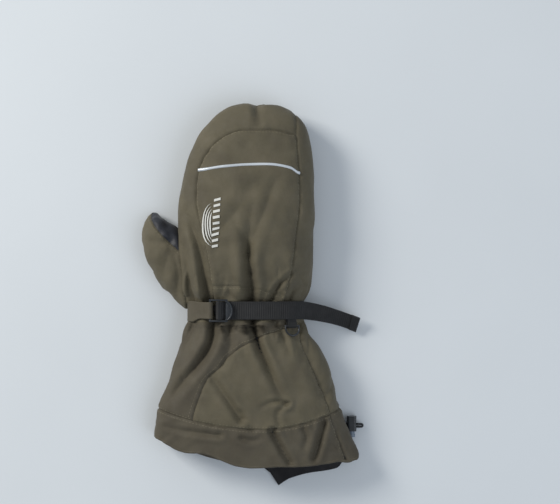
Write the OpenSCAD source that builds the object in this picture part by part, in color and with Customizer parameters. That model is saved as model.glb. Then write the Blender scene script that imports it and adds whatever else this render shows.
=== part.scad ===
/* [Hand] */
// Width across the padded hand
hand_w = 143; // [120:1:170]
// Height of the padded hand lying palm down
hand_h = 58; // [46:1:70]
// Centre of the strap to the fingertips
finger_l = 217; // [180:1:250]
// Centre of the strap to where the fingertip curve starts
knuckle_l = 92; // [76:1:110]
// How far the fingertip curve leans to the little finger side
tip_lean = 11; // [0:1:16]
// Share of the half width that the back-of-hand oval covers
oval_share = 0.74; // [0.60:0.02:0.84]
// Share of the half width that the palm patch covers
palm_share = 0.70; // [0.56:0.02:0.80]

/* [Wrist and gauntlet] */
// Width across the cinched wrist
wrist_w = 119; // [100:1:140]
// Height of the top of the cinched wrist over the floor
wrist_h = 44; // [40:1:54]
// Height of the cinched wrist's underside over the floor
wrist_lift = 5; // [5:0.5:7]
// Centre of the strap to the seam above it
wrist_seam_l = 20; // [15:1:26]
// Wrist sleeve past the strap's edge, on the gauntlet side
wrist_margin = 3.5; // [2.5:0.5:6.5]
// Length of the soft throat that bends between wrist and gauntlet
throat_l = 30; // [26:1:38]
// Centre of the strap to the mouth, at its sides
gauntlet_l = 140; // [118:1:165]
// Width of the gauntlet at its mouth
mouth_w = 212; // [180:1:245]
// Height of the gauntlet at its mouth
mouth_h = 42; // [36:1:54]
// Width of the hem band
hem_w = 42; // [36:1:52]
// How far the mouth bows out past its sides
mouth_bow = 25; // [0:1:30]

/* [Thumb] */
// How far the thumb stands out from its root
thumb_reach = 38; // [32:1:46]
// Length of the thumb's root along the hand
thumb_root_l = 80; // [70:1:92]
// Height of the thumb
thumb_h = 37; // [32:1:44]

/* [Layers] */
// Thickness of the woven outer shell
shell_t = 1.2; // [0.8:0.1:1.6]
// Thickness of the insulation around the hand
pad_t = 5; // [3:0.5:6]
// Thickness of the insulation around the thumb
thumb_pad_t = 3.6; // [2:0.2:4]
// Thickness of the waterproof insert
insert_t = 0.5; // [0.4:0.1:0.8]
// Thickness of the fleece lining
lining_t = 1; // [0.8:0.1:1.4]
// Room between one layer and the next
layer_gap = 0.8; // [0.7:0.1:1]
// Room across the drawcord in the channel under the hem's shell
channel_room = 1.2; // [1:0.1:2]

/* [Strap and buckle] */
// Width of the webbing
webbing_w = 19; // [16:0.5:21]
// Thickness of the webbing
webbing_t = 1.3; // [1:0.1:1.6]
// Free end of the strap, past the little finger edge
tail_l = 57; // [40:1:66]
// Width of each buckle rail
rail_w = 1.9; // [1.5:0.1:2.4]
// Thickness of the buckle
buckle_t = 2.2; // [1.8:0.1:2.6]
// Room on each side of the webbing in the buckle
webbing_gap = 0.6; // [0.4:0.1:1]

/* [Ring and cord lock] */
// Diameter of the ring's wire
ring_wire = 2; // [1.6:0.1:2.4]
// Inside width of the ring
ring_w = 13; // [10:0.5:15]
// Diameter of the elastic drawcord
cord_d = 2.4; // [2:0.1:2.8]
// Width of the cord lock along the cords
lock_w = 10; // [9.6:0.2:12]
// Length of the cord lock's barrel
lock_l = 16; // [15:0.5:19]
// Height of the cord lock
lock_h = 9.6; // [9.4:0.2:11]
// Travel of the cord lock along the cords
lock_travel = 5; // [2:0.5:6]
// Travel of the cord lock's plunger
press_l = 3; // [2:0.5:3.5]
// Diameter of the white reflective piping
piping_d = 3; // [2:0.2:3.6]

/* [Hidden] */

olive = "#5f5a4b";
black = "#22252c";
webbing_black = "#2b2e34";
plastic_black = "#1a1c20";
lining_black = "#1d1d20";
silver = "#c4ccd3";
wadding = "#8a8a86";

// Exponents of the outlines: fingertip curve, upper half of a section, lower half of a section
tip_e = 2.4;
top_e = 2.5;
low_e = 3.2;
// The underside is pressed flat where its curve would pass the floor
flatten = 1.1;

// Centre of the strap to the end of the wrist sleeve, and the depth of the drawcord's channel
wrist_drop = webbing_w / 2 + wrist_margin;
channel_t = cord_d + channel_room;

// Stations along the mitten: 0 is the strap, the mouth is at minus y and the fingertips at plus y
mouth_y = -gauntlet_l;
hem_y = hem_w - gauntlet_l;
throat_y = -wrist_drop - throat_l;
tip_l = finger_l - knuckle_l;
piping_y = finger_l - 71;
oval_top_y = finger_l - 29;
thumb_top_y = wrist_seam_l + thumb_root_l * 0.8;
bow_start = throat_y - 8;
hand_lean = -4.5;
panel_gap = 0.3;

// Depths of the layers under the outer surface
pad_d = shell_t + layer_gap;
insert_d = pad_d + pad_t + layer_gap;
lining_d = insert_d + insert_t + layer_gap;
cuff_lining_d = shell_t + channel_t;

// Half width, middle, top and underside of the tube, as smooth curves through a few sizes
half_w_keys = [[mouth_y - 40, mouth_w / 2 + 8], [mouth_y, mouth_w / 2], [hem_y, mouth_w * 0.455],
    [throat_y - 22, mouth_w * 0.385], [throat_y, mouth_w * 0.32], [-wrist_drop, wrist_w / 2 + 0.8],
    [-webbing_w / 4, wrist_w / 2], [webbing_w / 2, wrist_w / 2 + 0.2], [wrist_seam_l, wrist_w / 2 + 3],
    [knuckle_l * 0.65, hand_w / 2 - 1.5],
    [knuckle_l, hand_w / 2], [finger_l, hand_w / 2]];
centre_keys = [[mouth_y - 40, 5], [mouth_y, 4], [hem_y, 2.5], [throat_y, 0], [-wrist_drop, hand_lean],
    [knuckle_l, hand_lean], [finger_l, hand_lean]];
top_keys = [[mouth_y - 40, mouth_h], [mouth_y, mouth_h], [hem_y, mouth_h + 3], [throat_y, wrist_h + 4],
    [-wrist_drop, wrist_h], [webbing_w / 2, wrist_h + 0.2], [wrist_seam_l, wrist_h + 4],
    [knuckle_l * 0.65, hand_h - 1],
    [knuckle_l, hand_h], [finger_l, hand_h]];
low_keys = [[mouth_y, 0], [throat_y - 12, 0], [throat_y, wrist_lift * 0.4], [-wrist_drop, wrist_lift],
    [wrist_seam_l - 8, wrist_lift], [wrist_seam_l + 16, 0], [finger_l, 0]];

function clamp(v, low, high) = max(low, min(high, v));
function steps(a, b, n) = [for (i = [0:n]) a + (b - a) * i / n];
function most(a, n) = [for (i = [0:n - 1]) a[i]];
function mix(p, q, t) = p + (q - p) * t;

// A smooth curve through [place, value] keys, which stays between the values at each pair of keys
function key_rise(k, i) = (k[i + 1][1] - k[i][1]) / (k[i + 1][0] - k[i][0]);
function key_slope(k, i) =
    i == 0 || i == len(k) - 1 ? 0
    : let (a = key_rise(k, i - 1), b = key_rise(k, i)) a * b <= 0 ? 0 : 2 * a * b / (a + b);
function key_index(k, v, i = 0) = i >= len(k) - 2 || v < k[i + 1][0] ? i : key_index(k, v, i + 1);
function along(k, v) =
    let (i = key_index(k, v), w = k[i + 1][0] - k[i][0], t = clamp((v - k[i][0]) / w, 0, 1),
        a = key_slope(k, i) * w, b = key_slope(k, i + 1) * w)
    (2 * t ^ 3 - 3 * t ^ 2 + 1) * k[i][1] + (t ^ 3 - 2 * t ^ 2 + t) * a
    + (3 * t ^ 2 - 2 * t ^ 3) * k[i + 1][1] + (t ^ 3 - t ^ 2) * b;

// How far a station is into the fingertip curve, from 0 to 1, and the half width that is left there
function past_knuckle(y) = clamp((y - knuckle_l) / tip_l, 0, 1);
function half_w(y) = along(half_w_keys, y) * (1 - past_knuckle(y) ^ tip_e) ^ (1 / tip_e);
function dome(y) = (1 - past_knuckle(y) ^ tip_e) ^ (1 / tip_e);

// The fingertips lean to the little finger side, and the mouth bows outward with a slight slant
mouth_slant = 6;
function warp(p) =
    let (q = past_knuckle(p[1]), low = clamp((bow_start - p[1]) / (bow_start - mouth_y), 0, 1.2),
        across = clamp(p[0] / (mouth_w / 2), -1, 1))
    [p[0] + tip_lean * q * q, p[1] - low * (mouth_bow * (1 - across ^ 2) + mouth_slant * across), p[2]];

// A point of the section at y, sunk by depth d, at an angle u from the little finger edge:
// 90 is the back of the hand, 180 the thumb edge and 270 the palm
function section_at(y, u, d) =
    let (top = sin(u) >= 0, e = top ? top_e : low_e, w = half_w(y),
        z1 = along(top_keys, y), z0 = along(low_keys, y),
        mz = mix(z0, z1, 0.43), b = (top ? z1 - mz : mz - z0), g = dome(y),
        share = max(0.3, 1 - d / max(w, 20)),
        rise = abs(sin(u)) ^ (2 / e) * (top ? 1 : flatten), f = top ? rise : min(1, rise),
        yd = y > knuckle_l ? knuckle_l + (y - knuckle_l) * (tip_l - d) / tip_l : y)
    warp([along(centre_keys, y) + w * share * sign(cos(u)) * abs(cos(u)) ^ (2 / e), yd,
        mz + (top ? 1 : -1) * (b - d) * f * g]);
// The angle of a place x, from the middle of the hand, on the upper side of the section at y
function back_u(y, x) = let (c = clamp(x / half_w(y), -1, 1)) acos(sign(c) * abs(c) ^ (top_e / 2));

// The closed solid between an outer and an inner grid of points, over the cells that it covers.
// Rows run to plus y and columns run with the angle; ring joins the last column to the first.
function quad(a, b, c, d) = [[a, b, c], [a, c, d]];
module patch(outer, inner, covers = function (i, j) true, ring = false, cap = false) {
    m = len(outer) - 1;
    w = len(outer[0]);
    n = ring ? w : w - 1;
    k = (m + 1) * w;
    on = function (i, j) i >= 0 && i < m && (ring || (j >= 0 && j < n)) && covers(i, (j + n) % n);
    polyhedron(points = [each [for (r = outer) each r], each [for (r = inner) each r]], faces = [
        for (i = [0:m - 1], j = [0:n - 1]) if (on(i, j))
            let (a = i * w + j, b = i * w + (j + 1) % w, c = b + w, d = a + w) each [
                each quad(a, b, c, d),
                each quad(k + a, k + d, k + c, k + b),
                if (!on(i - 1, j)) each quad(a, k + a, k + b, b),
                if (!on(i + 1, j) && !(cap && i == m - 1)) each quad(d, c, k + c, k + d),
                if (!on(i, j - 1)) each quad(a, d, k + d, k + a),
                if (!on(i, j + 1)) each quad(b, k + b, k + c, c)],
        if (cap) [for (j = [0:w - 1]) m * w + j],
        if (cap) [for (j = [w - 1:-1:0]) k + m * w + j]]);
}
// A bar of round section along a path
function bar_frame(path, i) =
    let (a = path[max(0, i - 1)], b = path[min(len(path) - 1, i + 1)], t = (b - a) / norm(b - a),
        up = abs(t[2]) > 0.9 ? [1, 0, 0] : [0, 0, 1], s = cross(t, up) / norm(cross(t, up)))
    [s, cross(s, t)];
module round_bar(path, r, sides) {
    n = len(path);
    polyhedron(points = [for (i = [0:n - 1]) let (f = bar_frame(path, i)) for (k = [0:sides - 1])
            path[i] + r * (cos(k * 360 / sides) * f[0] + sin(k * 360 / sides) * f[1])],
        faces = [
            for (i = [0:n - 2], k = [0:sides - 1]) let (l = (k + 1) % sides)
                each quad(i * sides + k, i * sides + l, (i + 1) * sides + l, (i + 1) * sides + k),
            [for (k = [sides - 1:-1:0]) k],
            [for (k = [0:sides - 1]) (n - 1) * sides + k]]);
}
module plate(outline, y, w)
    translate([0, y + w / 2, 0]) rotate([90, 0, 0]) linear_extrude(w) polygon(outline);
// The outline of a strip of even thickness along a path in a plane
function side_of(path, i, off) =
    let (a = path[max(0, i - 1)], b = path[min(len(path) - 1, i + 1)], t = (b - a) / norm(b - a))
    path[i] + off * [-t[1], t[0]];
function strip(path, t) =
    [for (i = [0:len(path) - 1]) side_of(path, i, t / 2),
        for (i = [len(path) - 1:-1:0]) side_of(path, i, -t / 2)];

// The hand's grid: its columns follow the seams of the oval on the back and of the palm patch
oval_left_keys = [[wrist_seam_l, -0.27], [knuckle_l * 0.6, -0.31], [knuckle_l * 1.25, -0.385],
    [oval_top_y - 38, -0.37], [oval_top_y - 14, -0.27], [oval_top_y, -0.16]];
oval_right_keys = [[wrist_seam_l, 0.27], [knuckle_l * 0.6, 0.325], [knuckle_l * 1.25, 0.35],
    [oval_top_y - 38, 0.345], [oval_top_y - 14, 0.305], [oval_top_y, 0.22]];
palm_u = acos(palm_share ^ (low_e / 2));
oval_n = 8;
wall_n = 7;
palm_n = 8;
wall_1 = oval_n;
palm_1 = wall_1 + wall_n;
wall_2 = palm_1 + palm_n;
function seam_u(keys, y) =
    let (s = min(y, oval_top_y)) back_u(s, along(keys, s) * hand_w * oval_share / 0.74);
function hand_columns(y) =
    let (a = seam_u(oval_right_keys, y), b = seam_u(oval_left_keys, y))
    [each most(steps(a, b, oval_n), oval_n), each most(steps(b, 180 + palm_u, wall_n), wall_n),
        each most(steps(180 + palm_u, 360 - palm_u, palm_n), palm_n),
        each most(steps(360 - palm_u, 360 + a, wall_n), wall_n)];
tip_end = 0.998;
thumb_row = 4;
piping_row = 7;
oval_row = 10;
hand_rows = [each most(steps(wrist_seam_l + panel_gap, thumb_top_y, 4), 4),
    each most(steps(thumb_top_y, piping_y, 3), 3),
    each most(steps(piping_y, oval_top_y, 3), 3), for (t = [0, 0.36, 0.64, 0.84, 0.95, 1])
        mix(oval_top_y, knuckle_l + tip_l * tip_end, t)];
tip_row = len(hand_rows) - 1;
function hand_grid(d) = [for (y = hand_rows) [for (u = hand_columns(y)) section_at(y, u, d)]];
// The way into the thumb leaves out these cells of the thumb side wall
way_first = wall_1 + 2;
thumb_way = function (i, j) i < thumb_row && j >= way_first && j < palm_1;
module hand_patch(d, t, covers, cap = false)
    at_origin() patch(hand_grid(d), hand_grid(d + t), covers, ring = true, cap = cap);

module back_panel() color(olive) hand_patch(0, shell_t, function (i, j) i < piping_row && j < wall_1);
module fingertip_yoke() color(olive)
    hand_patch(0, shell_t, function (i, j) i >= piping_row && i < oval_row && j < wall_1);
module thumb_side_wall() color(olive)
    hand_patch(0, shell_t, function (i, j) i >= oval_row || (i >= thumb_row && j >= wall_1 && j < palm_1),
        cap = true);
module thumb_side_wall_lower() color(olive)
    hand_patch(0, shell_t, function (i, j) i < thumb_row && j >= wall_1 && j < way_first);
module pinky_side_wall() color(olive) hand_patch(0, shell_t, function (i, j) i < oval_row && j >= wall_2);
module palm_patch_upper() color(black)
    hand_patch(0, shell_t, function (i, j) i >= thumb_row && i < oval_row && j >= palm_1 && j < wall_2);
module palm_patch_lower() color(black)
    hand_patch(0, shell_t, function (i, j) i < thumb_row && j >= palm_1 && j < wall_2);

// Layers inside the hand
module hand_insulation_back() color(wadding)
    hand_patch(pad_d, pad_t, function (i, j) i == tip_row - 1 || j < way_first || j >= wall_2 + 3,
        cap = true);
module hand_insulation_palm() color(wadding)
    hand_patch(pad_d, pad_t,
        function (i, j) i < tip_row - 1 && j >= way_first && j < wall_2 + 3 && !thumb_way(i, j));
module waterproof_insert() color("#b9bcc0")
    hand_patch(insert_d, insert_t, function (i, j) !thumb_way(i, j), cap = true);
module hand_lining() color(lining_black)
    hand_patch(lining_d, lining_t, function (i, j) !thumb_way(i, j), cap = true);

// Trim on the back of the hand
trim_gap = 0.3;
module reflective_piping() color(silver) at_origin()
    round_bar([for (u = steps(seam_u(oval_right_keys, piping_y), seam_u(oval_left_keys, piping_y), oval_n))
        section_at(piping_y, u, -piping_d / 2 - trim_gap)], piping_d / 2, 8);
emblem_x = -30;
emblem_y = 93;
emblem_l = 46;
emblem_w = 12;
emblem_t = 0.4;
function emblem_grid(d) =
    [for (y = steps(emblem_y - emblem_l / 2, emblem_y + emblem_l / 2, 4))
        [for (x = steps(emblem_x + emblem_w / 2, emblem_x - emblem_w / 2, 3))
            section_at(y, back_u(y, x), d)]];
module back_emblem() color(silver)
    at_origin() patch(emblem_grid(-trim_gap - emblem_t), emblem_grid(-trim_gap));

// The cuff's grid, from the mouth to the wrist seam: its columns follow the seams of the gauntlet
side_u = 25;
strip_u = -15;
thumb_edge_u = 185;
slit_u = 331;
diagonal_keys = [[hem_y, -mouth_w * 0.2], [hem_y * 0.75, -mouth_w * 0.14], [throat_y, 6],
    [throat_y + 30, 30]];
diagonal_1 = 3;
thumb_1 = 7;
under_1 = 13;
slit_1 = 20;
function cuff_columns(y) =
    let (s = clamp(y, hem_y, throat_y), c = back_u(s, along(diagonal_keys, s)))
    [each most(steps(strip_u, side_u, 3), 3), each most(steps(side_u, c, 4), 4),
        each most(steps(c, thumb_edge_u, 6), 6), each steps(thumb_edge_u, slit_u, 7)];
function cuff_grid(rows, d) = [for (y = rows) [for (u = cuff_columns(y)) section_at(y, u, d)]];
module cuff_patch(rows, d, t, covers = function (i, j) true)
    at_origin() patch(cuff_grid(rows, d), cuff_grid(rows, d + t), covers, ring = true);
hem_rows = [mouth_y, mix(mouth_y, hem_y, 0.34), mix(mouth_y, hem_y, 0.67), hem_y];
channel_y = hem_rows[1];
flare_rows = steps(hem_y, throat_y - panel_gap, 4);
throat_rows = steps(throat_y, -wrist_drop - panel_gap, 3);
// The sleeve runs straight under the strap, so one of its rows is just inside the strap's edge
strap_row = webbing_w / 2 - 0.5;
function sleeve(low, edge, high) = [low, (low + edge) / 2, edge, high];
sleeve_rows = sleeve(-wrist_drop, strap_row, wrist_seam_l);
upper_side = function (i, j) j < under_1;
under_side = function (i, j) j >= under_1;

module wrist_back_panel() color(olive) cuff_patch(sleeve_rows, 0, shell_t, upper_side);
module wrist_palm_panel() color(olive) cuff_patch(sleeve_rows, 0, shell_t, under_side);
module wrist_lining() color(lining_black) cuff_patch(sleeve_rows, cuff_lining_d, lining_t);
elastic_t = 1;
module wrist_elastic() color(lining_black)
    cuff_patch(sleeve(3 - wrist_drop, strap_row - 1, wrist_seam_l - 3), pad_d, elastic_t,
        function (i, j) j > under_1 && j < slit_1);
module throat_back_panel() color(olive) cuff_patch(throat_rows, 0, shell_t, upper_side);
module throat_palm_panel() color(olive) cuff_patch(throat_rows, 0, shell_t, under_side);
module throat_lining() color(lining_black) cuff_patch(throat_rows, cuff_lining_d, lining_t);
module gauntlet_back_thumb_side() color(olive)
    cuff_patch(flare_rows, 0, shell_t, function (i, j) j >= thumb_1 && j < under_1);
module gauntlet_back_pinky_side() color(olive)
    cuff_patch(flare_rows, 0, shell_t, function (i, j) j >= diagonal_1 && j < thumb_1);
module gauntlet_side_strip() color(olive)
    cuff_patch(flare_rows, 0, shell_t, function (i, j) j < diagonal_1);
module gauntlet_palm_panel() color(olive) cuff_patch(flare_rows, 0, shell_t, under_side);
module gauntlet_lining() color(lining_black)
    cuff_patch([each most(hem_rows, 3), each flare_rows], cuff_lining_d, lining_t);

// Hem band, with a slit in its palm side where the drawcord comes out, and the tape around its edge
module hem_band_back() color(olive) cuff_patch(hem_rows, 0, shell_t, upper_side);
module hem_band_palm() color(olive)
    cuff_patch(hem_rows, 0, shell_t, function (i, j) j >= under_1 && !(i == 1 && j == slit_1));
binding_l = 3;
module hem_binding() color(lining_black)
    cuff_patch([mouth_y - binding_l, mouth_y - panel_gap], 0, cuff_lining_d + lining_t);

// Thumb: rows run along its outline, from the crotch to the wrist side, and columns run from its root
// over the top to its outline and back under
root_gap = 5.5;
root_mid_y = thumb_root_l / 2 + 6;
thumb_mid_z = thumb_h / 2 + 1;
root_slant = (hand_w - wrist_w) / 2 / knuckle_l * 1.2;
thumb_x_keys = [[0, 0.06], [0.12, 0.22], [0.24, 0.52], [0.3, 0.68], [0.38, 0.84], [0.5, 0.96], [0.62, 1],
    [0.74, 0.87], [0.86, 0.52], [0.94, 0.26], [1, 0.06]];
thumb_y_keys = [[0, 0.53], [0.12, 0.63], [0.24, 0.71], [0.3, 0.69], [0.38, 0.6], [0.5, 0.4], [0.62, 0.16],
    [0.74, -0.06], [0.86, -0.28], [0.94, -0.42], [1, -0.51]];
root_close = 0.022;
function root_x(y) = hand_lean - wrist_w / 2 - root_gap - 1.2 - root_slant * y;
function thumb_at(k, v, d) =
    let (c = 180 * clamp(k, root_close, 1 - root_close), r = sin(90 * (v < 1 ? v : 2 - v)),
        out = mix(0, thumb_reach * along(thumb_x_keys, k), r),
        y = mix(thumb_root_l / 2 * cos(c), thumb_root_l * along(thumb_y_keys, k), r),
        z = sin(c) ^ 0.7 * cos(90 * (v < 1 ? v : 2 - v)) * (v < 1 ? 1 : -1),
        ys = root_mid_y + y * (1 - d / (thumb_root_l / 2)))
    [root_x(ys) - out * (1 - d / thumb_reach), ys, thumb_mid_z + z * (thumb_h / 2 - d)];
thumb_rows = 14;
grip_rows = 4;
thumb_half = 6;
function thumb_grid(d) =
    [for (k = steps(1, 0, thumb_rows)) [for (v = steps(0, 2, 2 * thumb_half)) thumb_at(k, v, d)]];
module thumb_patch(d, t, covers) at_origin() patch(thumb_grid(d), thumb_grid(d + t), covers);
thumb_top = function (i, j) j < thumb_half;
module thumb_back_panel() color(olive)
    thumb_patch(0, shell_t, function (i, j) thumb_top(i, j) && i < thumb_rows - grip_rows);
module thumb_inner_patch() color(black)
    thumb_patch(0, shell_t, function (i, j) thumb_top(i, j) && i >= thumb_rows - grip_rows);
module thumb_grip_patch() color(black) thumb_patch(0, shell_t, function (i, j) !thumb_top(i, j));
module thumb_insulation() color(wadding) thumb_patch(pad_d, thumb_pad_t, function (i, j) true);
module thumb_lining() color(lining_black)
    thumb_patch(pad_d + thumb_pad_t + layer_gap, lining_t, function (i, j) true);
// The soft collar that joins the thumb to the hand
gusset_in = 4;
gusset_t = 2;
function gusset_at(c, x, d) =
    let (y = root_mid_y + (thumb_root_l / 2 - gusset_in - d) * cos(c))
    [root_x(y) + x, y, thumb_mid_z + (thumb_h / 2 - gusset_in - d) * sin(c)];
gusset_x = [0.4, root_gap - 1];
function gusset_grid(d) = [for (x = gusset_x) [for (c = steps(360, 15, 23)) gusset_at(c, x, d)]];
module thumb_gusset() color(black) at_origin() patch(gusset_grid(0), gusset_grid(gusset_t), ring = true);

// Strap around the wrist: an anchored layer, a turn around the buckle's middle bar, and a free layer
// over it that runs on past the little finger edge
strap_gap = 0.7;
tail_gap = 0.4;
strap_edges = [-webbing_w / 2, webbing_w / 2];
strap_out = strap_gap + webbing_t;
tail_out = strap_out + tail_gap + webbing_t;
buckle_x = -27.5;
strap_start = buckle_x + 7.1;
tail_start = buckle_x + 8.2;
strap_end_u = -75;
leave_u = 32;
function strap_grid(us, d) = [for (y = strap_edges) [for (u = us) section_at(y, u, d)]];
strap_us = steps(strap_end_u, back_u(0, strap_start), 26);
module wrist_strap() color(webbing_black)
    at_origin() patch(strap_grid(strap_us, -strap_out), strap_grid(strap_us, -strap_gap));
anchor_t = 1;
anchor_us = steps(-98, -66, 4);
function anchor_grid(d) =
    [for (y = [1 - webbing_w / 2, webbing_w / 2 - 1]) [for (u = anchor_us) section_at(y, u, d)]];
module strap_anchor_patch() color(webbing_black)
    at_origin() patch(anchor_grid(-strap_out - tail_gap - anchor_t), anchor_grid(-strap_out - tail_gap));

// The free end leaves the wrist along its slope, droops and swings towards the mouth
leave_x = section_at(0, leave_u, 0)[0];
tail_end_x = hand_lean + wrist_w / 2 + tail_l;
tail_drop = section_at(0, leave_u, 0)[2] * 0.74;
tail_swing = 16;
stop_l = 4;
stop_t = 0.9;
function tail_run(s) =
    [(tail_end_x - leave_x) * s, -tail_swing * s ^ 1.6, -tail_drop * (1.5 * s - 0.5 * s ^ 2)];
function tail_row(y, d) =
    [for (s = [1, 0.8, 0.6, 0.4, 0.2]) section_at(y, leave_u, d) + tail_run(s),
        for (u = steps(leave_u, back_u(0, tail_start), 12)) section_at(y, u, d)];
function tail_grid(d) = [for (y = strap_edges) tail_row(y, d)];
module wrist_strap_tail() color(webbing_black)
    at_origin() patch(tail_grid(-tail_out), tail_grid(webbing_t - tail_out));
function stop_grid(d) =
    [for (y = strap_edges) [for (s = [1 + stop_l / (tail_end_x - leave_x), 1.002])
        section_at(y, leave_u, d) + tail_run(s)]];
module strap_stop() color(webbing_black)
    at_origin() patch(stop_grid(-tail_out - stop_t), stop_grid(webbing_t - tail_out + stop_t));

// Buckle, in a frame on the wrist whose x runs along the fabric to the little finger side
buckle_u = back_u(0, buckle_x);
slope_a = section_at(0, buckle_u + 6, 0);
slope_b = section_at(0, buckle_u - 6, 0);
buckle_tilt = atan2(slope_a[2] - slope_b[2], slope_b[0] - slope_a[0]);
module on_wrist() translate(section_at(0, buckle_u, 0)) rotate([0, buckle_tilt, 0]) children();
function wrist_place(x, z) =
    let (p = section_at(0, buckle_u, 0), c = cos(buckle_tilt), s = sin(buckle_tilt))
    [p[0] + x * c + z * s, p[2] - x * s + z * c];
bar_r = buckle_t / 2;
bar_z = tail_out + 2 * trim_gap + bar_r;
tab_bar_x = -9;
end_bar_x = 8.6;
wrap_r = bar_r + tail_gap + webbing_t / 2;
wrap_path = [[6.6, strap_out - webbing_t / 2 + 0.2], [5.6, strap_out - webbing_t / 2 + 0.2],
    [2.6, bar_z - wrap_r * 1.34],
    for (a = steps(290, 50, 12)) [wrap_r * cos(a), bar_z + wrap_r * sin(a)],
    [3.4, bar_z + 0.5], [5, bar_z - 1.3], [6.2, tail_out - webbing_t / 2 + 0.1],
    [7.1, tail_out - webbing_t / 2]];
module wrist_strap_turn() color(webbing_black)
    at_origin() on_wrist() plate(strip(wrap_path, webbing_t), 0, webbing_w);
module along_y(x, y, z, r, l, sides = 32)
    translate([x, y + l / 2, z]) rotate([90, 0, 0]) cylinder(r = r, h = l, $fn = sides);
module along_x(x, y, z, r, l, sides = 32)
    translate([x, y, z]) rotate([0, 90, 0]) cylinder(r = r, h = l, $fn = sides);
rail_y = webbing_w / 2 + webbing_gap + rail_w / 2;
lift_l = 5;
lift_t = 1.4;
module ladder_lock_buckle() color(plastic_black) at_origin() on_wrist() {
    for (x = [tab_bar_x, 0, end_bar_x]) along_y(x, 0, bar_z, bar_r, 2 * rail_y);
    for (y = [-rail_y, rail_y])
        translate([tab_bar_x - bar_r, y - rail_w / 2, bar_z - bar_r])
            cube([end_bar_x - tab_bar_x + 2 * bar_r, rail_w, buckle_t]);
    translate([end_bar_x, 0, bar_z + bar_r - lift_t]) linear_extrude(lift_t)
        polygon([for (a = steps(-90, 90, 16)) [(lift_l + bar_r) * cos(a), webbing_w * 0.42 * sin(a)]]);
}
tab_t = 2;
tab_loop_t = 1;
tab_gap = 0.35;
tab_r = bar_r + tab_gap + tab_loop_t;
tab_h = tab_t / 2 + 1.3;
tab_path = [wrist_place(tab_bar_x, bar_z - 0.2),
    for (u = steps(buckle_u + 19, 172, 6)) let (q = section_at(0, u, -tab_h)) [q[0], q[2]]];
module buckle_tab() color(olive) at_origin() difference() {
    union() {
        on_wrist() along_y(tab_bar_x, 0, bar_z, tab_r, webbing_w - 1);
        plate(strip(tab_path, tab_t), 0, webbing_w - 2);
    }
    on_wrist() along_y(tab_bar_x, 0, bar_z, bar_r + tab_gap, webbing_w + 4);
}

// Ring for clipping the pair together, in a webbing tab under the strap at the little finger edge
ring_drop = 7.5;
ring_y = -webbing_w / 2 - ring_drop;
ring_u = back_u(ring_y, wrist_w * 0.4);
function unit(v) = v / norm(v);
ring_across = unit(section_at(ring_y, ring_u - 3, 0) - section_at(ring_y, ring_u + 3, 0));
ring_run = section_at(ring_y, ring_u, 0) - section_at(ring_y - 14, ring_u, 0);
ring_along = unit(ring_run - (ring_run * ring_across) * ring_across);
ring_out = cross(ring_across, ring_along);
ring_tab_t = 1;
ring_tab_r = ring_wire / 2 + tab_gap + ring_tab_t;
ring_h = ring_tab_r + 1;
ring_tab_w = ring_w - 3;
module on_ring_seat() {
    p = section_at(ring_y, ring_u, 0);
    multmatrix([for (i = [0:2]) [ring_across[i], ring_along[i], ring_out[i], p[i]]]) children();
}
module d_ring_tab() color(webbing_black) at_origin() on_ring_seat() difference() {
    union() {
        along_x(-ring_tab_w / 2, 0, ring_h, ring_tab_r, ring_tab_w);
        translate([-ring_tab_w / 2, 0, ring_h - ring_tab_r + 0.4]) cube([ring_tab_w, 6.4, 2 * ring_tab_t]);
    }
    along_x(-ring_w, 0, ring_h, ring_wire / 2 + tab_gap, 2 * ring_w);
}
ring_r = (ring_w + ring_wire) / 2;
module d_ring() color(plastic_black) at_origin() on_ring_seat() translate([0, 0, ring_h]) {
    along_x(-ring_r, 0, 0, ring_wire / 2, 2 * ring_r);
    for (x = [-ring_r, ring_r]) along_y(x, -ring_r * 0.2, 0, ring_wire / 2, ring_r * 0.4);
    translate([0, -ring_r * 0.4, 0]) rotate([0, 0, 180]) rotate_extrude(angle = 180, $fn = 48)
        translate([ring_r, 0]) circle(r = ring_wire / 2, $fn = 20);
    for (x = [-ring_r, ring_r]) translate([x, 0, 0]) sphere(r = ring_wire / 2, $fn = 20);
}

// Drawcord in the hem's channel: its two ends come out of the slit, run through the cord lock and join
// in a short loop
cord_r = cord_d / 2;
channel_d = shell_t + channel_t / 2;
module drawcord() color(webbing_black) at_origin()
    round_bar([for (u = [each cuff_columns(channel_y), 360 + strip_u]) if (u < slit_u - 1 || u == slit_u)
        section_at(channel_y, u, channel_d)], cord_r, 8);
slit_y = (hem_rows[1] + hem_rows[2]) / 2;
slit_place = section_at(slit_y, (slit_u + 360 + strip_u) / 2, 0);
edge_x = section_at(slit_y, 0, 0)[0];
strand_gap = 0.4;
strand_y = cord_r + strand_gap / 2;
lock_clear = 0.3;
lock_x = edge_x - 1;
lock_z = lock_h / 2 + 0.4;
loop_x = lock_x + lock_w + lock_travel + lock_clear;
strand_in = [[slit_place[0] - 2.5, slit_place[2] + 1.8], [slit_place[0] + 1, slit_place[2]],
    [lock_x - 1.4, lock_z], [loop_x, lock_z]];
module drawcord_loop() color(webbing_black) at_origin() translate([0, slit_place[1], 0])
    round_bar([for (q = strand_in) [q[0], -strand_y, q[1]],
        for (a = steps(-60, 60, 4)) [loop_x + strand_y * cos(a), strand_y * sin(a), lock_z],
        for (i = [len(strand_in) - 1:-1:0]) [strand_in[i][0], strand_y, strand_in[i][1]]], cord_r, 8);
anchor_cord_t = 1.2;
anchor_cord_us = steps(slit_u - 13, slit_u - 2, 3);
function cord_anchor_grid(d) =
    [for (y = [slit_y - 5, slit_y + 5]) [for (u = anchor_cord_us) section_at(y, u, d)]];
module drawcord_anchor() color(webbing_black)
    at_origin() patch(cord_anchor_grid(-trim_gap - anchor_cord_t), cord_anchor_grid(-trim_gap));

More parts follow.
